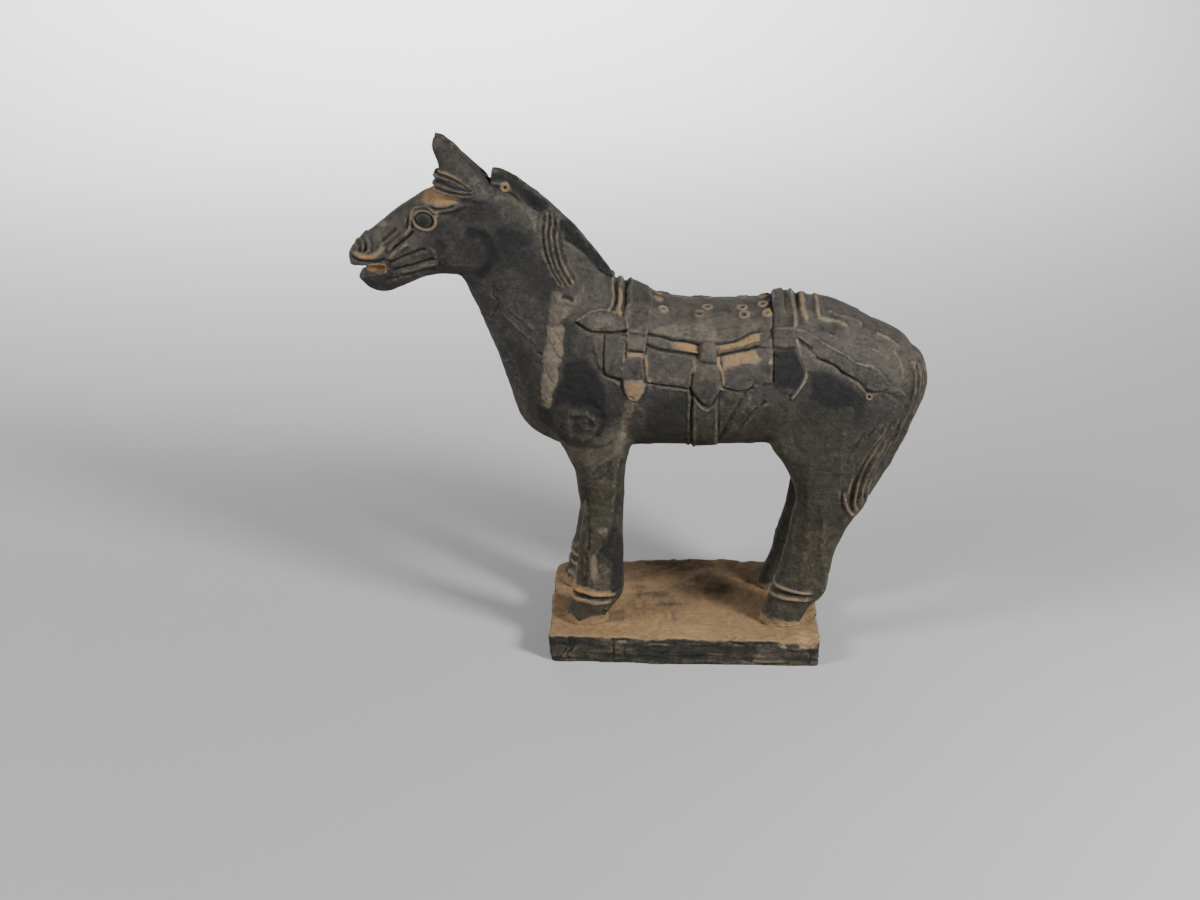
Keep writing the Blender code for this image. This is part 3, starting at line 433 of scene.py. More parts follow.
# Neck, mane and shoulder, on both sides.
NECK_LINES = (
    (0.8, 0.4, 0.3, ((-42.5, 144.9), (-38, 141.1), (-34, 137.5), (-30, 133.7), (-27, 131))),
    (1.2, 0.5, 0.2, ((-65.5, 163.2), (-62, 162.9), (-59, 161), (-56, 158), (-53, 155), (-50.2, 153.2))),
    # locks of hair
    (0.9, 0.5, 0.15, ((-49.6, 152.4), (-49.4, 147), (-48.6, 141.4), (-46.4, 137), (-43.8, 133),
        (-42.6, 131.8))),
    (0.9, -0.5, -0.45, ((-48.7, 150), (-48.6, 147.6), (-47.7, 141.4), (-45.2, 136.2), (-42.8, 132.8))),
    (0.9, 0.5, 0.3, ((-47.5, 153), (-47.7, 148), (-46.8, 141.4), (-44.4, 136), (-42, 132.6))),
    (0.8, -0.45, -0.35, ((-46.7, 150), (-46.9, 147.6), (-45.9, 141), (-43.6, 135.8), (-41.4, 132.4))),
    (0.9, 0.5, 0.35, ((-45.9, 152.6), (-46.1, 147.4), (-45, 140.6), (-42.6, 135.4), (-40.4, 132))),
    (0.8, -0.45, -0.35, ((-45, 149.6), (-45.1, 147), (-44.1, 140.8), (-41.8, 135.8), (-39.8, 132.8))),
    (0.9, 0.5, 0.5, ((-44, 151), (-44.1, 146.4), (-43.1, 141), (-41, 136.6), (-39, 133.3),
        (-38.4, 132.4))),
    (1, -0.6, -0.3, ((-43, 150), (-43, 145.6), (-42, 141.2), (-40, 137), (-38.4, 134.2))),
    # jowl, with painted shade in the groove behind it
    (3.4, -0.5, -1.5, ((-72.6, 148.2), (-68.4, 147.2), (-66, 144), (-65.4, 140), (-66.8, 136.4),
        (-69.6, 133.6))),
    # shoulder
    (4.5, 0.5, 0, ((-42, 129), (-44.2, 120), (-45.3, 109), (-46.2, 99), (-47, 91.5))),
    (1.6, 0.4, -0.4, ((-40.4, 85), (-39.4, 88.2), (-36, 89.6), (-32.4, 88.6), (-30.9, 85), (-32.2, 81.6),
        (-35.6, 80), (-39, 81.4), (-40.4, 85))),
    (3, -0.6, -0.9, ((-38, 91.5), (-33, 92), (-29.4, 88.6), (-28.2, 84.4), (-30.4, 81.4))),
    (2.6, -0.6, -0.9, ((-37.6, 84.6), (-36.4, 83.6))),
)
NECK_PATCHES = (
    # dark sides of the mane
    (-0.75, 0.8, ((-65.4, 166.8), (-62, 167), (-57.6, 164.8), (-54.4, 162.4), (-55.4, 159.4),
        (-58.4, 160.4), (-60, 163.4), (-62.4, 164.6), (-65.2, 163.8))),
    (-1, 0.7, ((-56.6, 162), (-52.4, 160.6), (-47.6, 156.8), (-46.2, 155), (-49.8, 153.4), (-52.8, 155),
        (-56, 158))),
    (-1, 0.8, ((-42.4, 151.4), (-38.8, 148.2), (-34.4, 143.4), (-30.4, 138.8), (-27, 133.6),
        (-25.4, 130.2), (-27.6, 131), (-31.6, 136.2), (-35.4, 139.4), (-38.6, 142.4), (-41.8, 145))),
    (0.8, 0.5, ((-53.6, 164.6), (-51.4, 163), (-51.8, 162.2), (-54, 163.6))),
    (0.8, 0.4, ((-48.4, 160.4), (-46.8, 159), (-47.2, 158.4), (-48.8, 159.6))),
    (0.7, 0.4, ((-38.2, 149.8), (-36.8, 148.2), (-37.4, 147.8), (-38.8, 149.2))),
    (0.75, 0.8, ((-62.6, 163.2), (-60.4, 164.4), (-59.4, 162.6), (-59.6, 160.4), (-61.4, 160.2))),
    (0.35, 1.6, ((-66.6, 161.4), (-62, 159.8), (-57.4, 158.4), (-54, 155.8), (-50.6, 153.4), (-49.8, 148),
        (-51.4, 148), (-53.4, 153), (-57, 156), (-62, 158), (-66, 159.8))),
    (0.35, 2, ((-42.6, 131.4), (-39, 131.2), (-37.4, 134.6), (-40, 140), (-41.6, 138))),
    # jowl, throat and neck: stains, and painted shade under the jaw and the throat
    (-0.85, 2.4, ((-64.6, 150.6), (-58, 150.2), (-52, 147.4), (-51, 144.4), (-54, 143.4), (-58, 143.8),
        (-61, 142.4), (-63, 144))),
    (-0.5, 4, ((-60, 142), (-52, 143), (-46.5, 138), (-45, 132), (-46, 126), (-50, 129), (-56, 134))),
    (-0.7, 3.2, ((-82, 154.2), (-76, 157), (-68, 159.4), (-62, 156.8), (-62, 152), (-72, 151))),
    (-0.34, 4, ((-44, 143), (-36, 138), (-26, 129), (-21, 124), (-21, 118), (-32, 124), (-36, 130),
        (-40, 137))),
    (-0.45, 3, ((-63.6, 119), (-61, 113), (-56, 111), (-51, 112), (-49.6, 108), (-52, 103), (-57, 105),
        (-61.6, 109))),
    (-0.8, 2.4, ((-51.6, 91), (-46, 88.6), (-44.4, 84.5), (-40, 80.4), (-34, 79.4), (-27, 77.6),
        (-30, 76), (-38, 76), (-45, 79.4), (-50, 84))),
    (-0.85, 2.8, ((-41, 107), (-34, 109), (-29.6, 104), (-27.6, 99), (-27, 88), (-28.6, 83), (-31, 88),
        (-36, 90.4), (-42, 92), (-45, 90), (-45, 95), (-42.6, 101))),
    (-0.95, 0.8, ((-29.8, 88.6), (-27.8, 86.4), (-27.4, 83.6), (-29.6, 81.4), (-29, 84.6))),
    (-0.95, 0.9, ((-38.8, 85), (-36.4, 85.4), (-34.8, 84), (-36, 82.4), (-38.4, 82.8))),
    (0.25, 3, ((-61.4, 103.6), (-57, 103.6), (-54.4, 95), (-52.6, 84), (-55.6, 82), (-59.4, 92))),
)
# The left side alone: wear, scratches and chips, and painted shade down the back of the foreleg.
LEFT_LINES = (
    (0.5, -0.3, -0.7, ((-64.4, 131), (-65.2, 127), (-63.4, 125), (-64.6, 121), (-66, 118.6))),
    (0.5, 0.2, 0.3, ((-62, 121), (-57, 117), (-51, 112.4))),
    (0.5, 0.2, 0.25, ((-60, 123), (-54, 119), (-50, 115.8))),
    (0.6, -0.2, 0.3, ((-48.4, 116), (-44.6, 112))),
    (0.6, 0.2, 0.4, ((-49, 107), (-44, 101))),
    (0.6, 0.2, 0.3, ((-46, 120), (-41.4, 114.6))),
    (1.5, -0.6, -1, ((-41.8, 128.6), (-40.2, 128.3), (-38.8, 127.6))),
    (0.9, -0.4, -0.9, ((-50.6, 109.4), (-49, 109))),
    (0.7, 0.2, 0.25, ((-61.6, 103), (-59.6, 104.4), (-57.8, 104.4))),
    (0.8, -0.4, -0.9, ((-41.6, 79.2), (-40.8, 77.8))),
    (0.8, -0.4, -0.8, ((-27.6, 77.4), (-26.2, 78.2), (-25.6, 79))),
    (1.4, 0.25, 0.1, ((51.8, 83), (51.4, 70), (51.5, 60), (52.6, 55))),
    # marks across the bare strip of the shoulder
    (0.5, -0.25, -0.4, ((-47.6, 117), (-44.4, 111), (-42.4, 108))),
    (0.5, -0.25, -0.4, ((-45.2, 119), (-41.6, 113))),
    (0.45, -0.2, -0.3, ((-48.2, 106), (-45.4, 100))),
    (0.45, -0.2, -0.3, ((-48.6, 99), (-46, 94))),
    (0.7, 0.25, 0.25, ((-43.6, 131), (-44.8, 126), (-45.6, 120))),
    # long facets of the legs
    (1.8, 0.35, 0, ((-25.4, 76), (-24.4, 64), (-24.9, 50), (-25.6, 40), (-25.2, 26))),
    (1.2, 0.25, 0, ((-33.6, 37), (-33.9, 30), (-33.4, 25))),
    (0.5, -0.3, -0.6, ((-29.4, 65.4), (-27.6, 67), (-26.6, 69))),
    (0.5, -0.3, -0.4, ((-30, 37), (-30.1, 30))),
    (0.5, -0.3, -0.5, ((-28.8, 14.8), (-26.8, 12.4), (-26.6, 10.4))),
    (0.6, 0.3, 0.7, ((-29, 15.8), (-27.2, 14.6))),
    (0.5, 0.3, 0.8, ((-29.4, 12.8), (-27.4, 12))),
    (2, 0.35, 0, ((40.4, 64), (41.6, 52), (40.6, 40), (39.4, 28))),
    (1.8, -0.35, -0.2, ((35.6, 60), (38.4, 50), (37.4, 40))),
    (1.8, 0.3, 0, ((46.4, 52), (46.6, 40), (47.4, 30), (47, 22))),
    # flats of the foreleg
    (2, 0.5, 0.3, ((-20.5, 77.6), (-24.8, 74.6), (-29.5, 71.3), (-33.2, 68.2))),
    (1.3, 0.4, 0.1, ((-23.8, 72), (-24.8, 64.8), (-25.4, 55.4), (-25.8, 46), (-28.1, 40.1), (-30.2, 37.4),
        (-29.9, 32))),
    # painted shade along the back edge of the foreleg
    (1.2, -0.4, -0.6, ((-22.4, 71), (-23.4, 64.8), (-24, 55.4), (-24.4, 46), (-26.4, 39.4))),
    (1, 0.4, 0.2, ((-34.7, 57), (-34.4, 46), (-34.7, 36.3), (-34.9, 28))),
    (1, -0.4, -0.5, ((-33.3, 57), (-33, 46), (-33.2, 38))),
)
LEFT_PATCHES = (
    (0.58, 0.6, ((-47.4, 119), (-46.9, 114), (-48.3, 110), (-48.4, 104), (-49.6, 99), (-49, 95),
        (-48.8, 91), (-46.6, 89.4), (-45.2, 91.4), (-45.2, 96), (-43.2, 100), (-43, 105), (-41.4, 109),
        (-41.6, 115), (-40.4, 119))),
    (0.42, 0.9, ((-45.6, 131), (-46.6, 124), (-47, 118), (-41.6, 118), (-41.6, 121), (-37, 125),
        (-34.6, 129.4), (-34.4, 133), (-37.4, 129), (-40, 127.6), (-42.6, 130.4))),
    (0.3, 2.4, ((-42.6, 79.5), (-36, 78.6), (-30, 79.6), (-26, 83), (-22.6, 78), (-26, 71), (-33, 69.6),
        (-39.6, 71))),
    (-0.7, 2, ((54.6, 96), (59.2, 95.4), (57.6, 90), (55.2, 85.4), (54.4, 90))),
    (-0.4, 2, ((57.6, 79.6), (59.4, 76), (56.4, 70), (53.4, 72), (54.4, 76))),
    (-0.35, 2.4, ((44.5, 55), (42, 48), (38, 42), (36.5, 40), (40, 48), (42, 56))),
    (0.62, 1.2, ((-33.4, 36), (-31, 37), (-30.2, 30), (-30.4, 26.4), (-32.8, 26.4))),
    # painted shade down the back of the foreleg
    (-0.55, 1.8, ((-21.4, 76), (-24, 71), (-24.2, 60), (-24.6, 50), (-21.6, 48), (-20.6, 60))),
    (0.95, 0.7, ((-39.4, 24), (-34, 23.4), (-30, 22.6), (-25.4, 22.6), (-25.4, 20.6), (-32, 20.4),
        (-39.4, 20.8))),
    (0.6, 0.7, ((-39.8, 19.2), (-26.4, 18.6), (-26.8, 17), (-40, 17.4))),
    (0.3, 2.4, ((-34, 33), (-26, 33), (-25, 23), (-34, 23))),
    (0.5, 1, ((-30, 46.8), (-26.2, 46.8), (-27, 43.4), (-30.4, 43.6))),
    (-0.7, 1.4, ((-35.4, 62), (-32, 62.4), (-32.4, 58), (-35.6, 55))),
    # painted shade down the back of the lower foreleg
    (-0.75, 1.6, ((-25.4, 49), (-23, 46), (-21.8, 40), (-21.6, 22), (-25.4, 21.4), (-25.8, 33),
        (-29.8, 38), (-28, 42))),
    (0.3, 1.4, ((48.4, 32), (49.6, 26), (49.2, 19), (47.4, 20), (47.6, 28))),
    # painted shade down the thigh
    (-0.45, 6, ((36, 100), (54, 96), (60, 68), (56, 46), (42, 48), (38, 66))),
    (-0.5, 3, ((-44, 92), (-40, 96), (-32, 97), (-26, 93), (-24, 86), (-27, 80), (-34, 78), (-41, 80),
        (-44.6, 86))),
)
# Face and muzzle, on both sides.
HEAD_LINES = (
    # lids and brow
    (0.8, 0.6, 0.6, ((-92.6, 148.4), (-92.2, 150.8), (-91.9, 153.2), (-90.8, 155.4), (-89, 156.2),
        (-87, 156.5), (-85.2, 155.9), (-83.8, 155), (-82.6, 154.8))),
    (0.7, -0.5, -0.7, ((-91.2, 149.6), (-91.3, 152), (-90.6, 154.2), (-89, 155.3), (-87, 155.6),
        (-85.2, 154.9), (-83.8, 154.2))),
    (0.7, 0.5, 0.5, ((-94, 150.2), (-93.6, 151.6))),
    (0.6, -0.4, -0.5, ((-93.2, 149), (-92.9, 151.4), (-92.5, 153))),
    (0.7, -0.6, -1, ((-85, 156.5), (-82.6, 156), (-80, 156.2), (-77.6, 157))),
    (1.1, 0.6, 0.6, ((-83, 155.1), (-80.6, 155.3), (-78, 155.8), (-76.6, 156.6))),
    (0.8, -0.5, -0.9, ((-82.4, 154.3), (-79.4, 154.4), (-76.6, 155.2), (-74, 156.6))),
    # face ridges
    (1.3, 0.7, 0.5, ((-92.4, 148.8), (-93.4, 147.4), (-95.5, 145.6), (-97.6, 143.6), (-99.4, 141.6))),
    (1, -0.6, -0.9, ((-91.6, 148), (-93, 146.4), (-95, 144.6), (-96.8, 143), (-98, 142))),
    (1.3, 0.6, 0.3, ((-96.6, 147.6), (-98.8, 146), (-100.8, 144), (-102.4, 142.2))),
    (1.2, -0.7, -0.7, ((-97.4, 148), (-99.6, 146.4), (-101.4, 144.6))),
    (1.5, 0.7, 0.7, ((-93.8, 143.6), (-96, 141.8), (-98, 140), (-99.4, 138.8))),
    (1, -0.7, -1, ((-87.4, 142.2), (-89, 142), (-91, 140.8), (-93.8, 139.6), (-96.6, 138.2),
        (-99.4, 136.8))),
    (1, 0.5, 0.3, ((-85.2, 142.4), (-84.2, 141), (-83.8, 139), (-85, 138))),
    (1, -0.6, -0.9, ((-84.4, 138.6), (-87, 138), (-90, 137), (-93, 136), (-96.4, 135), (-98.2, 134))),
    (1.4, 0.6, 0.4, ((-84.4, 137.2), (-88, 136.2), (-91, 135.2), (-94, 134.2), (-96.6, 133.2))),
    (1.1, -0.5, -0.8, ((-84.6, 134.6), (-88, 134.2), (-92, 133), (-95.6, 132.2))),
    (0.9, -0.4, -0.6, ((-97.2, 131.4), (-100.6, 130.6), (-102, 130))),
    (0.5, 0.2, 0.3, ((-84.4, 141.6), (-81.2, 136.4))),
    (0.5, 0.2, 0.3, ((-81.4, 141), (-84, 136.6))),
    (0.5, 0.2, 0.25, ((-79.4, 136), (-77, 136.6), (-74.6, 136.2))),
    # muzzle
    (2.2, 0.6, 1.05, ((-111.4, 138.7), (-109.4, 138.1), (-106.6, 138), (-104.4, 138.8), (-102.6, 140.4),
        (-101.8, 141.4))),
    (1.3, -0.6, -1, ((-112.4, 138), (-110.6, 137), (-107.4, 136.8), (-103.4, 136.8), (-101.6, 137.8))),
    (0.9, 0.6, 0.4, ((-108.2, 144.9), (-106.8, 143.6), (-106.1, 141.8), (-106.8, 139.9), (-108.4, 139))),
    (0.8, -0.4, -0.5, ((-106, 144.4), (-105.3, 142), (-105.5, 140.4))),
    (0.8, 0.5, 0.5, ((-108.9, 143.8), (-108.2, 142.4), (-108.6, 140.4))),
    (0.9, -0.7, -0.9, ((-107.9, 142.6), (-107.6, 141), (-108.2, 139.9))),
    (0.9, -0.6, -0.8, ((-109.9, 142.4), (-109.5, 141), (-109.8, 139.6))),
    (0.9, 0.4, 0.5, ((-111, 142), (-110.9, 140.4), (-111.4, 139.2))),
    (0.8, -0.3, -0.6, ((-108.2, 131.4), (-105.4, 131.2), (-102, 131.6))),
)
HEAD_PATCHES = (
    (0.9, 3, ((-88.6, 158.2), (-87.2, 161), (-84, 162.8), (-80, 161.6), (-75.2, 159.9), (-76.6, 157.6),
        (-79.6, 156.8), (-82.8, 156.6), (-85, 157.4), (-87, 157.2))),
    (0.75, 0.8, ((-82.4, 168.6), (-79, 168), (-75.6, 166), (-72.8, 163.2), (-74.6, 163.6), (-77.6, 165.6),
        (-80, 166.7), (-82.4, 167.2))),
    (0.5, 1, ((-106, 148.4), (-102, 150), (-99, 149.9), (-100.6, 148.6), (-103.6, 147.6))),
    (1.25, 0.7, ((-108.4, 133), (-108.4, 135), (-104, 135.9), (-101, 135.9), (-100.8, 133.1),
        (-104.4, 132.6))),
    (-0.55, 1.6, ((-109.8, 131), (-104, 131.4), (-100.6, 130.6), (-101.4, 128), (-106, 126.4),
        (-109.6, 128.4))),
    (0.3, 2, ((-73, 166), (-70, 166.4), (-66.6, 162), (-60, 158.6), (-63, 157.4), (-70, 160.6))),
    (-0.6, 1.6, ((-85, 146), (-80.6, 146.4), (-79.8, 140), (-80.6, 135), (-84, 134.6), (-83.4, 140))),
    (-0.5, 4, ((-84, 151), (-70, 152), (-56, 153), (-50, 147), (-54, 140), (-60, 136), (-66, 134),
        (-76, 141), (-80, 146))),
    (-0.7, 1.2, ((-101.8, 138.6), (-99, 138.4), (-97.8, 134.4), (-98.4, 131), (-101.4, 130.8),
        (-100, 134))),
    (-0.5, 1, ((-94, 139.4), (-88, 140.8), (-85, 141), (-84.4, 139), (-89, 138.2))),
    (-0.4, 1.4, ((-97, 133.8), (-90, 135.4), (-84.6, 136.4), (-84.6, 135), (-92, 133))),
    (-0.4, 1, ((-108.6, 131.6), (-103, 131.8), (-100, 133), (-99.8, 130), (-104, 129.4), (-107.6, 129))),
)
# The eye: its middle, and the half widths and half heights of two ovals.
EYE = (-87.35, 152.3)
EYE_LID = (3.95, 3.0)
EYE_BALL = (3.0, 2.2)
EYE_BULGE = 0.6
EYE_BULGE_WIDTH = 2.2
# Round marks: middle and width of the ring, height, tone, raggedness of the tone.
LID_RINGS = ((1, 0.5, 0.75, 0.75, 0),)
BALL_RINGS = ((1.06, 0.4, -0.45, -0.9, 0), (0, 2.4, 0, -1.1, 0))
TEAR_LINE = (1.2, 0.5, 0.6, ((-83.4, 154), (-82.4, 154.3)))
# Forelock: crests and furrows that run round the front of the brow.
FORELOCK_LINES = (
    (1.3, 0.7, 0.6, ((-84.6, 168.2), (-82, 168.1), (-79, 167.4), (-76, 165.9), (-72.6, 163.1))),
    (0.9, -0.6, -0.8, ((-84.8, 166.9), (-82, 166.8), (-79, 166.2), (-76, 164.8), (-72.4, 162.6))),
    (1.1, 0.6, 0.45, ((-85, 166), (-82, 165.8), (-79, 165.2), (-76, 163.9), (-72, 162.2))),
    (0.9, -0.6, -0.9, ((-85, 164.9), (-82, 164.7), (-78.6, 164), (-75, 162.9), (-71.6, 161.9))),
    (1.1, 0.6, 0.4, ((-85, 163.9), (-82, 163.6), (-78.6, 162.8), (-75, 162), (-71.4, 161.5))),
    (0.9, -0.6, -0.9, ((-85, 162.8), (-82, 162.5), (-78.6, 161.9), (-75, 161.2), (-71.4, 160.9))),
    (1, 0.5, 0.4, ((-85, 162), (-82, 161.7), (-78.6, 161.2), (-75, 160.6), (-71.2, 160.4))),
    (0.7, -0.4, -0.7, ((-84.4, 161.1), (-80.6, 160.7), (-76, 160.1))),
)
# Rivets of the seat: X, and how far round from the crest of the back.
RIVETS = (
    (-9, 7.6), (3, 8), (5.8, 4.2), (17.4, 4.6), (18, 8.4), (24.4, 3.6), (25.8, 8.6), (-11, 2.6),
)
RIVET_RADIUS = 1.7
RIVET_RINGS = ((0.85 * RIVET_RADIUS, 1.9, 0.45, 0.72, 0.4), (0, 1.6, -0.6, -0.7, 0))
RIVET_Z_SHARE = 0.5
SEAT_TOP = 121.0
SEAT_CURVE = 0.025
SEAT_LOWEST = 105.0
# Rings of the hooves: Y of the leg, front end, back end, height, tone.
FORELEG_Y = 14.0
HINDLEG_Y = 13.5
HOOF_RINGS = (
    (-FORELEG_Y, (-38.2, 21.8), (-24.4, 20.9), 0.7, 1.1),
    (-FORELEG_Y, (-38.6, 20), (-24, 19.3), -0.6, -0.6),
    (-FORELEG_Y, (-39, 18.6), (-25.4, 17.6), 0.5, 0.95),
    (FORELEG_Y, (-40, 21.4), (-25.6, 20.4), 0.6, 0.9),
    (FORELEG_Y, (-40.6, 18.2), (-26.6, 17), 0.5, 0.8),
    (-HINDLEG_Y, (30.4, 24.4), (43.6, 22), 0.6, 0.72),
    (-HINDLEG_Y, (30.2, 22), (43.6, 20.9), -0.6, -0.6),
    (-HINDLEG_Y, (29.6, 20.3), (42.8, 19.6), 0.6, 0.74),
)
RING_WIDTH = 2.1
RING_FRONT_REACH = 4.0
RING_BACK_REACH = 2.0
RING_FADE = 3.0
RING_HALF_DEPTH = 10.0
RING_RAGGEDNESS = 0.3

# ---------------------------------------------------------------- plinth, and marks all over
# Cracks and ledges of the plinth's front face.
FRONT_LINES = (
    (0.7, -0.5, -0.9, ((-46, 6), (-42.6, 6.5), (-40, 5.7), (-37.4, 6.4))),
    (0.6, -0.5, -0.8, ((-39.6, 8.6), (-40.2, 5.6), (-42.4, 2.6), (-44, 0.6))),
    (0.6, -0.5, -0.9, ((-38, 7.2), (-38.6, 4.6), (-40.4, 3), (-40.2, 0.8))),
    (0.8, -0.5, -1, ((-24.6, 7.6), (-24.2, 4.4), (-24.8, 1))),
    (0.5, -0.3, -0.6, ((-36, 3.2), (-30, 2.6), (-25, 3))),
    (0.9, 0.35, 0.5, ((-24, 5.2), (-20.4, 4.8), (-17.2, 5.2))),
    (0.6, -0.4, -0.7, ((-21, 3.6), (-20.4, 1.2))),
    (0.6, -0.4, -0.6, ((-16, 6.6), (-6, 7.2), (4, 6.4), (12, 7))),
    (0.6, -0.4, -0.6, ((-10, 3.4), (0, 2.6), (9, 3.2), (17, 2.4))),
    (0.8, 0.3, 0.15, ((-12, 5), (-2, 4.6), (8, 5.2), (20, 4.6), (30, 5.4))),
    (0.7, -0.5, -0.9, ((15.4, 8.6), (17.6, 7.4), (20.6, 7.2))),
    (0.6, -0.4, -0.8, ((20, 2), (24, 1.2), (30, 0.9), (36, 1.4))),
    (0.7, 0.3, 0.1, ((32, 7.2), (38, 6.4), (45, 6.8))),
    (0.6, -0.4, -0.8, ((42.8, 6), (43.4, 3), (42.6, 0.8))),
)
FRONT_PATCHES = (
    (0.62, 0.6, ((23.4, 1), (23.6, 3.2), (25.6, 3.9), (28, 3), (34.8, 3), (34.4, 1.6), (29, 1))),
    (0.9, 0.7, ((38.4, 10), (38.8, 7.8), (41, 6.7), (44.2, 7), (45.8, 8.2), (46, 10))),
    (0.3, 1, ((-27, 5.6), (-18, 5.4), (-18, 3.8), (-26, 3.6))),
    (-0.75, 1.4, ((-20, 7), (4, 7), (10, 2), (-14, 1))),
    (-0.65, 1.4, ((2, 8.4), (24, 8.2), (26, 4.4), (8, 4))),
    (0.25, 1.6, ((-46, 5), (-40, 4), (-34, 1), (-46, 0.8))),
)
# Hollows and bumps of the plinth's edges: X, Y, Z, radius, depth.
CHIPS = (
    (42, -29.8, 9.6, 3.6, 0.9),
    (16, -27.6, 9.4, 1.8, 1.1),
    (-26.5, -28.4, 9.4, 1.5, 0.6),
    (-43, -28.6, 8.8, 2.2, 0.5),
    (-8, -29.6, 9.4, 1.6, 0.4),
    (29, -28.6, 9.6, 4, -0.6),
    (-2, -29, 9.6, 3.6, -0.5),
    (46.6, -10, 9.4, 2.6, 0.7),
    (46.6, 14, 9.4, 3.4, 0.6),
    (-46.8, 6, 9.4, 3, 0.6),
    (-20, 31.6, 9.4, 3.6, 0.7),
    (22, 31.8, 9.4, 2.6, 0.6),
)
# Smudges and painted shade on top of the plinth: X, Y, radii, tone. The dark ones under the figure are
# painted shade as well as stain.
SMUDGES_AND_SHADE = (
    (5, 25, 16, 8, -0.6),
    (8, 17, 14, 11, -0.62),
    (0, 9, 13, 7, -0.55),
    (18, 22, 12, 10, -0.5),
    (-11, 3, 13, 4, -0.62),
    (-15, 8, 6, 4, -0.65),
    (-4, -4, 8, 2.6, -0.6),
    (-4, -12, 1.6, 6, -0.55),
    (-22, 24, 12, 8, -0.45),
    (29, 20, 7, 9, -0.45),
    (0, 14, 44, 24, -0.42),
    (42, -27, 6, 5, 0.5),
    (0, -24, 46, 9, 0.3),
    (36, 0, 8, 12, 0.15),
)
SMUDGE_AND_SHADE_SPREAD = 2.2
SMUDGE_AND_SHADE_RAGGEDNESS = 0.22
# Small round holes with a worn rim: X, Z, radius. Their rings are measured in the radius.
HOLES = (
    (-61, 161.9, 0.75),
    (59.6, 96.2, 0.5),
)
HOLE_REACH = 3.0
HOLE_RINGS = ((1.7, 1.6, 0.3, 0.8, 0.5), (0, 2.2, -1.1, -1, 0))
# Places where the surface is rough: X, Z, radius, roughness.
ROUGH = (
    (-35, 87, 11, 1),
    (-41, 99, 7, 0.4),
    (-82, 140.6, 6, 0.45),
    (-46, 82, 6, 0.4),
    (24, 97, 6, 0.45),
    (58, 90, 8, 0.35),
    (-25.6, 13, 4, 0.7),
)
ROUGH_HEIGHT = 0.5
ROUGH_SHADE = 1.4
# Clay smeared round the feet, bare clay above it, and lumps on the far foreleg.
UPRIGHT = 0.6
FEET_BOTTOM = PLINTH_HEIGHT + 0.2
SMEAR_REACH = 2.4
SMEAR_HEIGHT = 0.35
SMEAR_RAGGEDNESS = 0.7
BARE_TOP = 11.8
BARE_EDGE = 2.2
BARE_RAGGEDNESS = 1.6
BARE_TONE = 0.9
LUMPS_TOP = (25, 6)
LUMPS_INNER = 4.0
LUMPS_BACK = (-30, 4)
LUMP_HEIGHT = 1.7
LUMP_TONE = 1.3
# Layers of the plinth's sides, with painted shade in their furrows.
SIDE_TURN = (0.6, 0.3)
SIDE_TOP = PLINTH_HEIGHT - 0.3
SIDE_STAIN = 0.22
LAYER_HEIGHT = 0.22
FURROWS = (-0.2, 0.5)
FURROW_SHADE = 0.48
CRESTS = (0.55, 0.4)
CREST_WEAR = 0.3
FRONT_RAGGEDNESS = 0.2
# A face looks forwards or down when its normal's Y or Z is below this.
TURNED_AWAY = -0.5
# Furrows down the back of the tail, with painted shade in them.
STRANDS_TURN = (0.55, 0.5)
STRANDS_FRONT = (50, 4)
STRANDS_BOTTOM = (62, 12)
STRANDS_TOP = (106, 6)
STRANDS_SIDE = (11, 4)
STRAND_PITCH = 2.9
STRAND_WAVE = 1.8
STRAND_HEIGHT = 0.24
STRAND_SHADE = 0.5
# Small hollows in chance places.
KNOCKS = 140
KNOCK_SEED = 41
KNOCK_RADIUS = (0.8, 2.4)
KNOCK_DEPTH = (0.1, 0.3)
# Noises in a sum: height, size, seed. A size may differ along X, Y and Z.
BROKEN = ((1, 4, 7), (0.5, 1.6, 8))
ROUGH_LUMPS = ((1, 1.9, 51), (0.6, 1, 52))
LAYERS = ((1, (13, 13, 1.2), 31), (0.5, (5, 5, 0.7), 32))
UNEVEN = ((0.2, 7, 3), (0.13, 2.6, 4), (0.07, 1.2, 5))
# Noises by themselves: size, seed.
LUMPS = (2.4, 21)
STRAND_WAVES = ((8, 8, 18), 61)
CREASES = ((9, 5, 3.5), 9)
PLINTH_WAVES = ((7, 7, 14), 6)
EDGE_WAVES = (1.9, 10)
FACETS = ((5, 5, 24), 11)
CREASE_DEPTH = 0.16
PLINTH_WAVE = 0.22
PLINTH_SIDE_WAVE = 0.23
WAVY_TURN = (0.8, 0.4)
ON_PLINTH = (PLINTH_HEIGHT + 0.6, 1)
EDGE_WAVE = 0.3
EDGE_BOTTOM = (7.4, 1.4)
FACET_HEIGHT = 0.4
FACETS_TOP = (70, 10)
NOISE_CELLS = 32
NOISE_SHIFT = 500.0
UNDERSIDE_BELOW = 0.7

# ---------------------------------------------------------------- wear, stains, painted shade, dust and painted top light, and earth
# Rounds of smoothing against which the surface is compared, and what counts as a ridge or recess.
FINE_ROUNDS = 5
WIDE_ROUNDS = 30
FINE_RIDGE = (0.05, 0.08)
FINE_RIDGE_SHARE = 0.7
WIDE_RIDGE = (0.3, 0.4)
WIDE_RIDGE_SHARE = 0.3
# Recesses at both scales are darkened with painted shade.
FINE_RECESS = (-0.07, 0.12)
FINE_RECESS_SHADE = 0.6
WIDE_RECESS = (-0.3, 0.4)
WIDE_RECESS_SHADE = 0.5
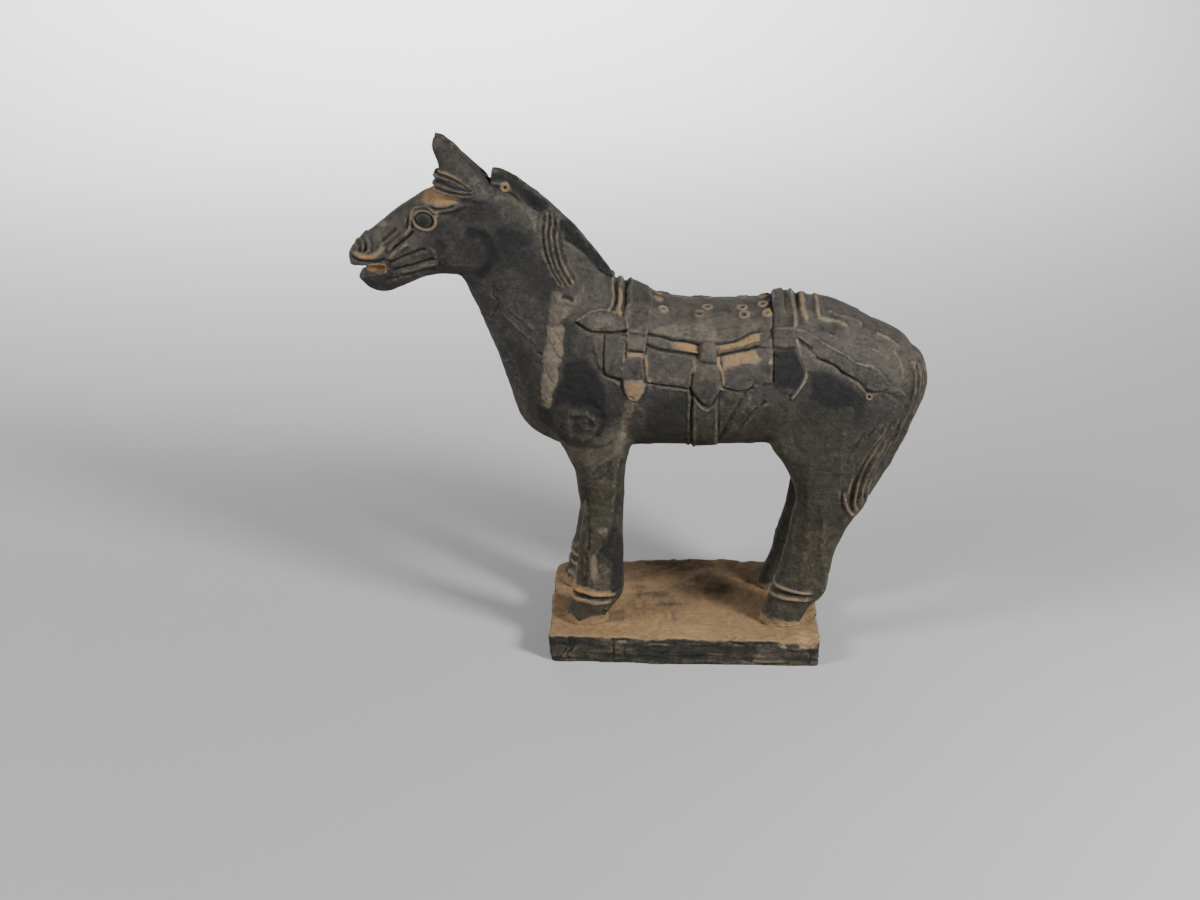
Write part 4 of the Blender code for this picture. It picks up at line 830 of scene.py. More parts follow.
# Top of the plinth.
TOP_TURN = (0.45, 0.4)
TOP_TURN_RAGGEDNESS = 0.12
TOP_ABOVE = (PLINTH_HEIGHT + 1.6, 1)
TOP_BELOW = PLINTH_HEIGHT - 3
TOP_RAGGEDNESS = 0.7
TOP_WEAR = 0.85
TOP_RECESS_SHADE_CUT = 0.6
EARTHY_LEGS = (88, 26)
EARTHY_TAIL = (66, 14)
EARTHY_TAIL_SHARE = 0.6
DUSTY_BACK = (104, 22)
DUSTY_SADDLE = (-30, 30)
BACK_DUST = 0.55
CROUP = (34, 8)
CROUP_CLEAN = 0.45
FACE = (-86, 8)
FACE_BOTTOM = (138, 12)
FACE_DUST = 0.55
# What faces up, above a height, gets dust and painted top light.
UPWARD_DUST_AND_LIGHT_TURN = (0.25, 1.1)
DUST_AND_LIGHT_BOTTOM = 60.0
TOP_DUST_AND_LIGHT = 0.34

# ---------------------------------------------------------------- clay
CHARCOAL = (0.0103, 0.0101, 0.0098, 1)
SLATE = (0.0325, 0.0315, 0.0285, 1)
BROWN = (0.044, 0.037, 0.0265, 1)
OLIVE = (0.0395, 0.0335, 0.018, 1)
# Pale dust, which on what faces up is also painted top light. Scratch marks take it too.
PALE_DUST_AND_LIGHT = (0.096, 0.083, 0.067, 1)
# Near black, for stains and for painted shade in grooves, hollows and under the figure.
SOOT_AND_SHADE = (0.0045, 0.0045, 0.005, 1)
WORN = (0.228, 0.185, 0.134, 1)
RIDGE = (0.14, 0.108, 0.062, 1)
TAN = (0.262, 0.156, 0.066, 1)
TAN_DEEP = (0.146, 0.093, 0.052, 1)
TAN_PALE = (0.355, 0.222, 0.103, 1)
SLIP_ROUGHNESS = (0.64, 0.80)
CLAY_ROUGHNESS = 0.95
CLAY_SPECULAR = 0.34
# Grains: size, detail, roughness. Their values lie around the middle.
GRAIN_MIDDLE = 0.5
CLAY_CLOUDS = (9, 5, 0.55)
MOTTLE = (2.4, 6, 0.62)
RAGGED = (1.8, 6, 0.65)
FLAKES = (1.5, 6, 0.68)
SPECKLE = (0.8, 4, 0.6)
PIT_SIZE = 1.9
GRIT_DEPTH = 0.5
# Clouds: grain, and the values of the grain between which they fade in.
CLOUDS = ((18, 4, 0.55), 0.38, 0.64)
BLOTCHES = ((4.5, 6, 0.62), 0.36, 0.66)
BRUSHING = ((1.6, 3, 0.55), 0.38, 0.66)
# Streaks: turn, clouds.
STREAK_STRETCH = (0.07, 1, 1)
ACROSS = ((0.2, 0.25, 0.1), BRUSHING)
DOWN = ((0.1, 1.45, 0), BRUSHING)
SLANTED = ((0, 0.62, 0.3), ((0.6, 3, 0.55), 0.61, 0.66))
CROSSED = ((0.3, -0.9, 0.2), ((0.5, 3, 0.55), 0.61, 0.66))
# How strongly each coat covers what lies under it.
BROWN_COAT = 0.45
OLIVE_COAT = 0.62
BRUSHED_COAT = 0.12
RIDGE_COAT = 0.5
MARK_COAT = 0.4
CLAY_BRUSHED = 0.15
# Ranges, from low and high to low and high. Those with two values go to 0 and 1.
RIDGE_BREAKS = (0.35, 0.6)
MOTTLE_SHADES = (0.30, 0.70, 0.70, 1.32)
SPECKLE_SHADES = (0.36, 0.64, 0.76, 1.26)
DARK_FLAKES = (0.36, 0.42, 0.76, 1.0)
LIGHT_FLAKES = (0.59, 0.63, 1.0, 1.22)
DUST_AND_LIGHT_COAT = (0.0, 1.0, 0.5, 0.9)
CLAY_SHADES = (0.34, 0.60, 0.3, 1.0)
CLAY_SPECKS = (0.34, 0.40, 0.3, 0.0)
PALE_WEAR = (0.9, 1.4)
BARE = (0.12, 0.95)
RUBBED = (0.55, 1.0, 0.0, 0.9)
STAIN_AND_SHADE = (0.10, 1.0, 0.0, 0.94)
# How far chance moves the edges of wear, and of stains and painted shade.
WEAR_EDGE = 0.9
STAIN_AND_SHADE_EDGE = 0.8
# Grit: each layer's share of the height.
SPECKLE_GRIT = 0.45
FLAKE_GRIT = 0.25
FLAKE_STEP = (0.36, 0.44)
PIT_GRIT = 0.3
PIT_WALL = (0.0, 0.2)
BRUSHED_GRIT = 0.12
MARK_GRIT = -0.3

# ---------------------------------------------------------------- studio
CAMERA_PLACE = (-9.4, -707.1, 384.95)
CAMERA_TURN = (65.782, 0, 1.672)
SENSOR_WIDTH = 36.0
LENS = 67.4
FLOOR_RADII = (1, 100, 250, 620)
SWEEP_BEND = 600.0
SWEEP_STEP = 5
SWEEP_TURNS = 128
PAPER = (0.475, 0.475, 0.48, 1)
PAPER_ROUGHNESS = 0.9
# Soft boxes: name, place, size, watts, the point they aim at, spread in degrees.
LIGHTS = (
    ("key", (470, -330, 380), (150, 150), 6.6, (0, 0, 70), 180),
    ("fill", (-640, -330, 500), (230, 230), 4.9, (0, 0, 70), 180),
    ("sweep_light", (-200, 880, 760), (700, 300), 15, (-200, 881, 0), 98),
)
WHITE = (1, 1, 1, 1)
WORLD_STRENGTH = 0.03


# ---------------------------------------------------------------- skins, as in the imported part


def smooth_run(rows, steps):
    """The rows with steps - 1 more on a smooth curve (Catmull-Rom) in each gap."""
    rows = np.vstack([2 * rows[0] - rows[1], rows, 2 * rows[-1] - rows[-2]])
    out = []
    for before, start, end, after in zip(rows, rows[1:], rows[2:], rows[3:]):
        for step in range(steps):
            t = step / steps
            leave = (end - before) / 2
            arrive = (after - start) / 2
            out.append(
                (2 * t**3 - 3 * t**2 + 1) * start
                + (t**3 - 2 * t**2 + t) * leave
                + (3 * t**2 - 2 * t**3) * end
                + (t**3 - t**2) * arrive
            )
    out.append(rows[-2])
    return np.array(out)


def oval(row, fullness, side):
    """One closed section as points. A fullness of 2 is an ellipse, and more is squarer."""
    ax, az, bx, bz, half_width, y = row
    points = []
    for i in range(RING_POINTS):
        angle = 2 * math.pi * i / RING_POINTS
        along, across = math.cos(angle), math.sin(angle)
        along = math.copysign(abs(along) ** (2 / fullness), along)
        across = math.copysign(abs(across) ** (2 / fullness), across)
        points.append(
            (
                (ax + bx) / 2 + along * (ax - bx) / 2,
                side * (y + across * half_width),
                (az + bz) / 2 + along * (az - bz) / 2,
            )
        )
    return points


def skin(shell, outlines):
    """Adds a closed skin over a row of outlines to a bmesh, with a fan at each end."""
    rows = [[shell.verts.new(point) for point in outline] for outline in outlines]
    for row, following in zip(rows, rows[1:]):
        for i in range(len(row)):
            j = (i + 1) % len(row)
            shell.faces.new((row[i], row[j], following[j], following[i]))
    for row in (rows[0], rows[-1]):
        middle = shell.verts.new(np.mean([vert.co for vert in row], axis=0))
        for i in range(len(row)):
            shell.faces.new((row[i], row[(i + 1) % len(row)], middle))


def loft(shell, sections, fullness, side=RIGHT):
    """Adds the skin over a row of sections. A section without a Y stands in the middle."""
    rows = np.array([(*row, 0.0)[:SECTION_VALUES] for row in sections])
    skin(shell, [oval(row, fullness, side) for row in smooth_run(rows, STEPS_BETWEEN)])


def stepped(sections, forward, below):
    """The sections under a height moved forward, the lowest by the whole step."""
    out = []
    for ax, az, bx, bz, half_width, y in sections:
        step = forward * min(1.0, max(0.0, (below - az) / (below - PLINTH_HEIGHT)))
        out.append((ax - step, az, bx - step, bz, half_width, y))
    return out


def plinth_outline(height, inset):
    """The plinth's outline at a height. Each corner is a quadratic curve."""
    share = height / PLINTH_HEIGHT
    corners = []
    for top, bottom, _ in PLINTH_CORNERS:
        corner = share * np.array(top) + (1 - share) * np.array(bottom)
        corners.append(corner - inset * np.sign(corner))
    outline = []
    for i, (_, _, rounding) in enumerate(PLINTH_CORNERS):
        corner = corners[i]
        ends = []
        for neighbour in (corners[i - 1], corners[(i + 1) % len(corners)]):
            towards = (neighbour - corner) / np.linalg.norm(neighbour - corner)
            ends.append(corner + towards * rounding)
        for t in np.linspace(0.0, 1.0, CORNER_POINTS):
            outline.append((1 - t) ** 2 * ends[0] + 2 * t * (1 - t) * corner + t**2 * ends[1])
    return outline


def plinth(shell):
    """Adds the plinth, whose top edge is a little broken."""
    levels = (
        (0.0, 0.0),
        (PLINTH_HEIGHT - PLINTH_EDGE_DROP, 0.0),
        (PLINTH_HEIGHT, PLINTH_EDGE_INSET),
    )
    skin(shell, [[(x, y, z) for x, y in plinth_outline(z, inset)] for z, inset in levels])


def mouth_wedge():
    """The space between the lips: it opens forward, and sets the lower lip back."""
    x, z = MOUTH_CORNER
    lip_x, lip_z = LOWER_LIP_FRONT
    half = MOUTH_GAP / 2
    front = x - MOUTH_CUT_LENGTH
    chin = lip_z - CHIN_CUT_DROP
    profile = (
        (x, z + half),
        (x, z - half),
        (lip_x, lip_z),
        (lip_x + CHIN_SLOPE, chin),
        (front, chin),
        (front, z + half - MOUTH_SLOPE * (x - front)),
    )
    shell = bmesh.new()
    levels = (-MOUTH_CUT_HALF_WIDTH, 0.0, MOUTH_CUT_HALF_WIDTH)
    skin(shell, [[(px, y, pz) for px, pz in profile] for y in levels])
    return mesh_object("mouth_wedge", shell)


# ---------------------------------------------------------------- objects and fusing


def placed(name, data):
    """A new object in the scene."""
    made = bpy.data.objects.new(name, data)
    bpy.context.scene.collection.objects.link(made)
    return made


def mesh_object(name, shell):
    """An object from a bmesh, which is freed."""
    bmesh.ops.recalc_face_normals(shell, faces=shell.faces)
    mesh = bpy.data.meshes.new(name)
    shell.to_mesh(mesh)
    shell.free()
    return placed(name, mesh)


def evaluated(obj):
    """The mesh of an object with its modifiers applied. The object itself is removed."""
    bpy.context.view_layer.update()
    graph = bpy.context.evaluated_depsgraph_get()
    mesh = bpy.data.meshes.new_from_object(obj.evaluated_get(graph))
    bpy.data.objects.remove(obj)
    return mesh


def fuse(obj, iterations):
    """Modifiers that turn overlapping skins into one closed, smoothed surface."""
    one_surface = obj.modifiers.new("one_surface", "REMESH")
    one_surface.mode = "VOXEL"
    one_surface.voxel_size = VOXEL
    smooth = obj.modifiers.new("smooth", "SMOOTH")
    smooth.factor = SMOOTHING_FACTOR
    smooth.iterations = iterations


def flesh():
    """Trunk, neck, head and legs, with soft joins and the mouth cut out."""
    shell = bmesh.new()
    loft(shell, TRUNK, TRUNK_FULLNESS)
    loft(shell, FORELEG, LEG_FULLNESS, LEFT)
    loft(shell, stepped(FORELEG, FAR_FORELEG_STEP, FORELEG_STEPS_BELOW), LEG_FULLNESS, RIGHT)
    for side in (LEFT, RIGHT):
        loft(shell, HINDLEG, LEG_FULLNESS, side)
    loft(shell, HEAD, ROUND)
    body = mesh_object("flesh", shell)
    fuse(body, FLESH_SMOOTHING)
    wedge = mouth_wedge()
    mouth = body.modifiers.new("mouth", "BOOLEAN")
    mouth.operation = "DIFFERENCE"
    mouth.solver = "MANIFOLD"
    mouth.object = wedge
    mesh = evaluated(body)
    bpy.data.objects.remove(wedge)
    return mesh


def rough_figure():
    """The whole figure as one even, closed surface, before any relief."""
    shell = bmesh.new()
    shell.from_mesh(flesh())
    for side in (LEFT, RIGHT):
        loft(shell, EAR, EAR_FULLNESS, side)
    loft(shell, POLL, ROUND)
    loft(shell, FORELOCK, ROUND)
    loft(shell, MANE, MANE_FULLNESS)
    loft(shell, TAIL, TRUNK_FULLNESS)
    loft(shell, MOUTH_CORE, ROUND)
    plinth(shell)
    figure = mesh_object("rough_figure", shell)
    fuse(figure, DETAIL_SMOOTHING)
    return evaluated(figure)


# ---------------------------------------------------------------- helpers for relief


def step_up(distance, width):
    """0 to 1 across a soft edge of this width, where the distance is 0."""
    t = np.clip(distance / width + 0.5, 0.0, 1.0)
    return t * t * (3 - 2 * t)


def past(values, limit):
    """0 to 1 as values pass a limit, which is a place and the width of its soft edge."""
    place, width = limit
    return step_up(values - place, width)


def short_of(values, limit):
    """1 to 0 as values pass a limit."""
    place, width = limit
    return step_up(place - values, width)


def mound(distance, width):
    """1 on a line and 0 beyond half of this width from it."""
    return np.clip(1 - (2 * distance / width) ** 2, 0.0, 1.0) ** 1.5


def off_line(x, z, points):
    """Distance from every surface point to a line of straight runs."""
    nearest = np.full(len(x), np.inf)
    for (ax, az), (bx, bz) in zip(points, points[1:]):
        run_x, run_z = bx - ax, bz - az
        along = ((x - ax) * run_x + (z - az) * run_z) / (run_x**2 + run_z**2)
        t = np.clip(along, 0.0, 1.0)
        square = (x - ax - t * run_x) ** 2 + (z - az - t * run_z) ** 2
        nearest = np.minimum(nearest, square)
    return np.sqrt(nearest)


def inside(x, z, outline):
    """Distance to a closed outline, positive inside it."""
    closed = (*outline, outline[0])
    odd = np.zeros(len(x), bool)
    for (ax, az), (bx, bz) in zip(closed, closed[1:]):
        if az != bz:
            odd ^= ((az > z) != (bz > z)) & (x < ax + (z - az) * (bx - ax) / (bz - az))
    return off_line(x, z, closed) * np.where(odd, 1, -1)


def around(x, z, points, reach, where):
    """Indexes of the masked surface points within reach of the box round the given points."""
    low_x, low_z = np.min(points, axis=0) - reach
    high_x, high_z = np.max(points, axis=0) + reach
    near = (x > low_x) & (x < high_x) & (z > low_z) & (z < high_z)
    return np.flatnonzero(near & (where > 0))


def noise(points, size, seed):
    """Smooth noise from -1 to 1 whose lumps are about this size."""
    cells = (NOISE_CELLS,) * 3
    table = np.random.default_rng(seed).uniform(-1, 1, cells)
    scaled = points / size + NOISE_SHIFT
    cell = np.floor(scaled).astype(int)
    share = scaled - cell
    share = share * share * (3 - 2 * share)
    total = np.zeros(len(points))
    for corner in np.ndindex(2, 2, 2):
        weight = np.prod(np.where(corner, share, 1 - share), axis=1)
        i, j, k = ((cell + corner) % NOISE_CELLS).T
        total += weight * table[i, j, k]
    return total


def noises(points, kinds):
    """The sum of several noises, each with its height, size and seed."""
    return sum(height * noise(points, size, seed) for height, size, seed in kinds)


def read_rows(items, name, kind, columns):
    """One property of all vertices or edges, as rows of an array."""
    values = np.empty(len(items) * columns, kind)
    items.foreach_get(name, values)
    return values.reshape(-1, columns)


class Surface:
    """The dense surface while it is carved: where each point is, and what is done to it."""

    def __init__(self, mesh):
        self.mesh = mesh
        self.count = len(mesh.vertices)
        self.points = read_rows(mesh.vertices, "co", np.float32, 3).astype(float)
        self.normals = self.read_normals()
        self.edges = read_rows(mesh.edges, "vertices", np.int32, 2)
        self.raised = np.zeros(self.count)
        self.sunk = np.zeros(self.count)
        self.laid_on = np.zeros(self.count)
        self.worn = np.zeros(self.count)
        self.stained_and_shaded = np.zeros(self.count)
        self.broken = noises(self.points, BROKEN)

    def read_normals(self):
        return read_rows(self.mesh.vertex_normals, "vector", np.float32, 3).astype(float)

    def smoothed(self, values, rounds):
        """The values after each point has been averaged with its neighbours this many times."""
        a, b = self.edges.T
        number = np.bincount(a, minlength=self.count) + np.bincount(b, minlength=self.count)
        for _ in range(rounds):
            total = np.bincount(a, values[b], self.count) + np.bincount(b, values[a], self.count)
            values = 0.5 * values + 0.5 * total / np.maximum(number, 1)
        return values

    def ragged(self, chosen, amount):
        """Factors about 1 that make an even mark ragged."""
        return 1 + amount * self.broken[chosen]

    def emboss(self, chosen, height):
        """Raises points, or sinks them where the height is below 0."""
        self.raised[chosen] = np.maximum(self.raised[chosen], height)
        self.sunk[chosen] = np.minimum(self.sunk[chosen], height)

    def tint(self, chosen, tone):
        """Wears points to bare clay, or darkens them with stain and painted shade where the tone is below
        0.
        """
        self.worn[chosen] = np.maximum(self.worn[chosen], tone)
        self.stained_and_shaded[chosen] = np.maximum(self.stained_and_shaded[chosen], -tone)

    def write(self):
        """Puts the moved points into the mesh."""
        self.mesh.vertices.foreach_set("co", self.points.astype(np.float32).ravel())
        self.mesh.update()
        self.normals = self.read_normals()


def line(surface, x, z, where, row):
    """A raised or sunk line, with its tone, on the points where the mask is over 0."""
    width, height, tone, points = row
    points = np.array(points, float)
    if len(points) > 2:
        points = smooth_run(points, LINE_STEPS)
    chosen = around(x, z, points, width, where)
    share = mound(off_line(x[chosen], z[chosen], points), LINE_SPREAD * width) * where[chosen]
    surface.emboss(chosen, height * share * surface.ragged(chosen, LINE_RAGGEDNESS))
    if tone > 0:
        tone = tone * np.clip(WORN_SHARE + WORN_RAGGEDNESS * surface.broken[chosen], *WORN_LIMITS)
    surface.tint(chosen, tone * share * share)


def covered(x, z, where, edge, outline):
    """The points in an outline with a soft edge, and how much each one is in it."""
    chosen = around(x, z, outline, edge, where)
    return chosen, step_up(inside(x[chosen], z[chosen], outline), edge) * where[chosen]


def plate(surface, x, z, where, row):
    """A flat area that stands out from the flank."""
    height, edge, outline = row
    chosen, share = covered(x, z, where, edge, outline)
    surface.laid_on[chosen] = np.maximum(surface.laid_on[chosen], height * share)


def patch(surface, x, z, where, row):
    """An area that is worn, or darkened by stain and painted shade."""
    tone, edge, outline = row
    chosen, share = covered(x, z, where, edge, outline)
    surface.tint(chosen, tone * share)


def rings(surface, chosen, away, mask, marks, size=1.0):
    """Round marks about a place, from each point's distance to it and the size of the marks."""
    for middle, width, height, tone, raggedness in marks:
        share = mound(away - middle * size, width * size) * mask
        surface.emboss(chosen, height * share)
        surface.tint(chosen, tone * share * surface.ragged(chosen, raggedness))


# ---------------------------------------------------------------- relief of each region


def flanks(surface, x, z, both, left):
    """Saddle, harness, neck and wear, on the points whose masks say which flank they face."""
    for row in PLATES:
        plate(surface, x, z, both, row)
    for row in LINES + NECK_LINES + HEAD_LINES + FORELOCK_LINES:
        line(surface, x, z, both, row)
    for row in PATCHES + NECK_PATCHES + HEAD_PATCHES:
        patch(surface, x, z, both, row)
    for row in LEFT_LINES:
        line(surface, x, z, left, row)
    for row in LEFT_PATCHES:
        patch(surface, x, z, left, row)


def eye(surface, x, z, both):
    """A bulging eyeball in a groove, under a raised lid."""
    chosen = around(x, z, (EYE, EYE), 2 * EYE_LID[0], both)
    from_eye = (x[chosen] - EYE[0], z[chosen] - EYE[1])
    ball = np.hypot(from_eye[0] / EYE_BALL[0], from_eye[1] / EYE_BALL[1])
    lid = np.hypot(from_eye[0] / EYE_LID[0], from_eye[1] / EYE_LID[1])
    surface.laid_on[chosen] += EYE_BULGE * mound(ball, EYE_BULGE_WIDTH) * both[chosen]
    rings(surface, chosen, lid, both[chosen], LID_RINGS)
    rings(surface, chosen, ball, both[chosen], BALL_RINGS)
    line(surface, x, z, both, TEAR_LINE)


def holes(surface, x, z, both):
    """Small round holes."""
    for place_x, place_z, radius in HOLES:
        place = (place_x, place_z)
        chosen = around(x, z, (place, place), HOLE_REACH * radius, both)
        away = np.hypot(x[chosen] - place_x, z[chosen] - place_z)
        rings(surface, chosen, away, both[chosen], HOLE_RINGS, radius)


def rough_places(surface, x, z, both):
    """Lumpy clay, with painted shade between its lumps."""
    lumps = noises(surface.points, ROUGH_LUMPS)
    for place_x, place_z, radius, roughness in ROUGH:
        share = mound(np.hypot(x - place_x, z - place_z), 2 * radius) * both * roughness
        surface.laid_on += ROUGH_HEIGHT * share * lumps
        dark = share * np.clip(-ROUGH_SHADE * lumps, 0, 1)
        surface.stained_and_shaded = np.maximum(surface.stained_and_shaded, dark)


def hoof_rings(surface, x, y, z):
    """Rings round the hooves, each on one leg between two points of its side view."""
    for middle, (front_x, front_z), (back_x, back_z), height, tone in HOOF_RINGS:
        slope = (back_z - front_z) / (back_x - front_x)
        level = np.abs(z - front_z - slope * (x - front_x))
        along = (x > front_x - RING_FRONT_REACH) & (x < back_x + RING_BACK_REACH)
        on_leg = along & (np.abs(y - middle) < RING_HALF_DEPTH)
        chosen = np.flatnonzero(on_leg & (level < RING_WIDTH))
        share = mound(level[chosen], RING_WIDTH) * short_of(x[chosen], (back_x, RING_FADE))
        ragged = surface.ragged(chosen, RING_RAGGEDNESS)
        surface.emboss(chosen, height * share * ragged)
        surface.tint(chosen, tone * share * ragged)


def rivets(surface, x, y, z):
    """Dimples with a worn rim on the top of the seat."""
    for place, round_the_back in RIVETS:
        height = SEAT_TOP - SEAT_CURVE * round_the_back**2
        for side in (LEFT, RIGHT):
            off_middle = np.hypot(y - side * round_the_back, RIVET_Z_SHARE * (z - height))
            away = np.hypot(x - place, off_middle)
            chosen = np.flatnonzero((away < 2 * RIVET_RADIUS) & (z > SEAT_LOWEST))
            rings(surface, chosen, away[chosen], 1.0, RIVET_RINGS)


def feet(surface, x, y, z):
    """Clay smeared from the plinth up round the hooves, and lumps on the far foreleg."""
    upright = (surface.normals[:, 2] < UPRIGHT) & (z > FEET_BOTTOM)
    smear = np.clip(1 - (z - PLINTH_HEIGHT) / SMEAR_REACH, 0.0, 1.0) ** 2 * upright
    surface.laid_on += SMEAR_HEIGHT * smear * (1 + SMEAR_RAGGEDNESS * surface.broken)
    bare = step_up(BARE_TOP + BARE_RAGGEDNESS * surface.broken - z, BARE_EDGE) * upright
    surface.worn = np.maximum(surface.worn, BARE_TONE * bare)
    lumps = np.clip(noise(surface.points, *LUMPS), 0.0, 1.0) * short_of(z, LUMPS_TOP)
    lumps *= upright * (y > LUMPS_INNER) * short_of(x, LUMPS_BACK)
    surface.laid_on += LUMP_HEIGHT * lumps
    surface.worn = np.maximum(surface.worn, LUMP_TONE * lumps)


def plinth_sides(surface, x, z):
    """Layers in the clay of the plinth's sides with painted shade in their furrows, and the cracks of its
    front.
    """
    side = short_of(np.abs(surface.normals[:, 2]), SIDE_TURN) * (z < SIDE_TOP)
    layers = noises(surface.points, LAYERS)
    surface.laid_on += LAYER_HEIGHT * layers * side
    dark = side * (SIDE_STAIN + FURROW_SHADE * short_of(layers, FURROWS))
    surface.stained_and_shaded = np.maximum(surface.stained_and_shaded, dark)
    surface.worn = np.maximum(surface.worn, CREST_WEAR * past(layers, CRESTS) * side)
    front = side * (surface.normals[:, 1] < TURNED_AWAY)
    for row in FRONT_LINES:
        line(surface, x, z, front, row)
    for row in FRONT_PATCHES:
        patch(surface, x, z, front * (1 + FRONT_RAGGEDNESS * surface.broken), row)


def tail_strands(surface, x, y, z):
    """Furrows down the back of the tail, with painted shade in them."""
    behind = past(surface.normals[:, 0], STRANDS_TURN) * past(x, STRANDS_FRONT)
    in_height = past(z, STRANDS_BOTTOM) * short_of(z, STRANDS_TOP)
    behind *= in_height * short_of(np.abs(y), STRANDS_SIDE)
    wavy = y + STRAND_WAVE * noise(surface.points, *STRAND_WAVES)
    strand = np.cos(2 * np.pi * wavy / STRAND_PITCH)
    surface.laid_on += STRAND_HEIGHT * behind * strand
    surface.stained_and_shaded = np.maximum(surface.stained_and_shaded, STRAND_SHADE * behind * np.clip(-strand, 0, 1))


def knocks(surface):
    """Small hollows in chance places."""
    chance = np.random.default_rng(KNOCK_SEED)
    for _ in range(KNOCKS):
        middle = surface.points[chance.integers(surface.count)]
        radius = chance.uniform(*KNOCK_RADIUS)
        near = np.flatnonzero(np.abs(surface.points - middle).max(axis=1) < radius)
        away = np.linalg.norm(surface.points[near] - middle, axis=1)
        surface.laid_on[near] -= chance.uniform(*KNOCK_DEPTH) * mound(away, 2 * radius)


def unevenness(surface, z):
    """Low waves of hand-worked clay: stronger on the plinth, and long flats on the legs."""
    points = surface.points
    uneven = noises(points, UNEVEN)
    uneven -= CREASE_DEPTH * np.abs(noise(points, *CREASES))
    on_plinth = short_of(z, ON_PLINTH)
    slab = PLINTH_WAVE + PLINTH_SIDE_WAVE * short_of(surface.normals[:, 2], WAVY_TURN)
    uneven += on_plinth * slab * noise(points, *PLINTH_WAVES)
    uneven += on_plinth * past(z, EDGE_BOTTOM) * EDGE_WAVE * noise(points, *EDGE_WAVES)
    facets = FACET_HEIGHT - 2 * FACET_HEIGHT * np.abs(noise(points, *FACETS))
    uneven += short_of(z, FACETS_TOP) * (1 - on_plinth) * facets
    return uneven


def carve(surface):
    """Moves the surface out along its normals by the relief."""
    x, y, z = surface.points.T
    x_hand = x + HAND_WANDER * noise(surface.points, HAND_SIZE, HAND_SEEDS[0])
    z_hand = z + HAND_WANDER * noise(surface.points, HAND_SIZE, HAND_SEEDS[1])
    normals = surface.normals
    facing = past(normals[:, 1] * np.sign(y), FLANK_TURN) * (z > FLANK_BOTTOM)
    flanks(surface, x_hand, z_hand, facing, facing * (y < 0))
    eye(surface, x_hand, z_hand, facing)
    holes(surface, x, z, facing)
    rough_places(surface, x, z, facing)
    hoof_rings(surface, x, y, z_hand)
    rivets(surface, x, y, z)
    feet(surface, x, y, z)
    plinth_sides(surface, x_hand, z_hand)
    tail_strands(surface, x, y, z)
    knocks(surface)

    height = surface.laid_on + surface.raised + surface.sunk
    for cx, cy, cz, radius, depth in CHIPS:
        away = np.linalg.norm(surface.points - (cx, cy, cz), axis=1)
        height -= depth * mound(away, 2 * radius)
    height += unevenness(surface, z)
    surface.points += normals * height[:, None]
    underside = (surface.points[:, 2] < UNDERSIDE_BELOW) & (normals[:, 2] < TURNED_AWAY)
    surface.points[underside, 2] = 0.0
    surface.points[:, 2] = np.maximum(surface.points[:, 2], 0.0)
    surface.write()


# ---------------------------------------------------------------- wear, stains, painted shade, dust and painted top light, and earth


def crests_and_recesses(surface):
    """How far each point stands out from a smoother surface, at a fine and a wide scale."""
    close = np.stack([surface.smoothed(axis, FINE_ROUNDS) for axis in surface.points.T], axis=1)
    broad = np.stack([surface.smoothed(axis, WIDE_ROUNDS) for axis in close.T], axis=1)
    fine = ((surface.points - close) * surface.normals).sum(axis=1)
    wide = ((close - broad) * surface.normals).sum(axis=1)
    return fine, wide


def plinth_top(surface):
    """Bare clay on top of the plinth, and the dark and light marks on it: smudges, and painted shade
    under the figure.
    """
    x, y, z = surface.points.T
    broken = surface.broken
    top = past(surface.normals[:, 2] + TOP_TURN_RAGGEDNESS * broken, TOP_TURN)
    top *= short_of(z - TOP_RAGGEDNESS * broken, TOP_ABOVE) * (z > TOP_BELOW)
    dark = np.zeros(surface.count)
    light = np.zeros(surface.count)
    for cx, cy, radius_x, radius_y, tone in SMUDGES_AND_SHADE:
        away = np.hypot((x - cx) / radius_x, (y - cy) / radius_y) + SMUDGE_AND_SHADE_RAGGEDNESS * broken
        share = mound(away, SMUDGE_AND_SHADE_SPREAD)
        if tone < 0:
            dark = np.maximum(dark, -tone * share)
        else:
            light = np.maximum(light, tone * share)
    return top, dark * top, light * top


def earthy(surface):
    """The legs, the tail and the lower thighs are browner than the rest."""
    x, _, z = surface.points.T
    return np.maximum(short_of(z, EARTHY_LEGS), EARTHY_TAIL_SHARE * past(x, EARTHY_TAIL))


def dust_and_top_light(surface):
    """Dust lies on the saddle and on the face, and less on the croup. What faces up gets dust and painted
    top light.
    """
    x, _, z = surface.points.T
    back = past(z, DUSTY_BACK) * past(x, DUSTY_SADDLE) * (1 - CROUP_CLEAN * past(x, CROUP))
    face = short_of(x, FACE) * past(z, FACE_BOTTOM)
    upwards = past(surface.normals[:, 2], UPWARD_DUST_AND_LIGHT_TURN) * (z > DUST_AND_LIGHT_BOTTOM)
    return np.clip(BACK_DUST * back + FACE_DUST * face + TOP_DUST_AND_LIGHT * upwards, 0.0, 1.0)


def store(mesh, name, values):
    """Keeps one number for each point of the mesh, for the material to read."""
    attribute = mesh.attributes.new(name, "FLOAT", "POINT")
    attribute.data.foreach_set("value", np.asarray(values, np.float32))


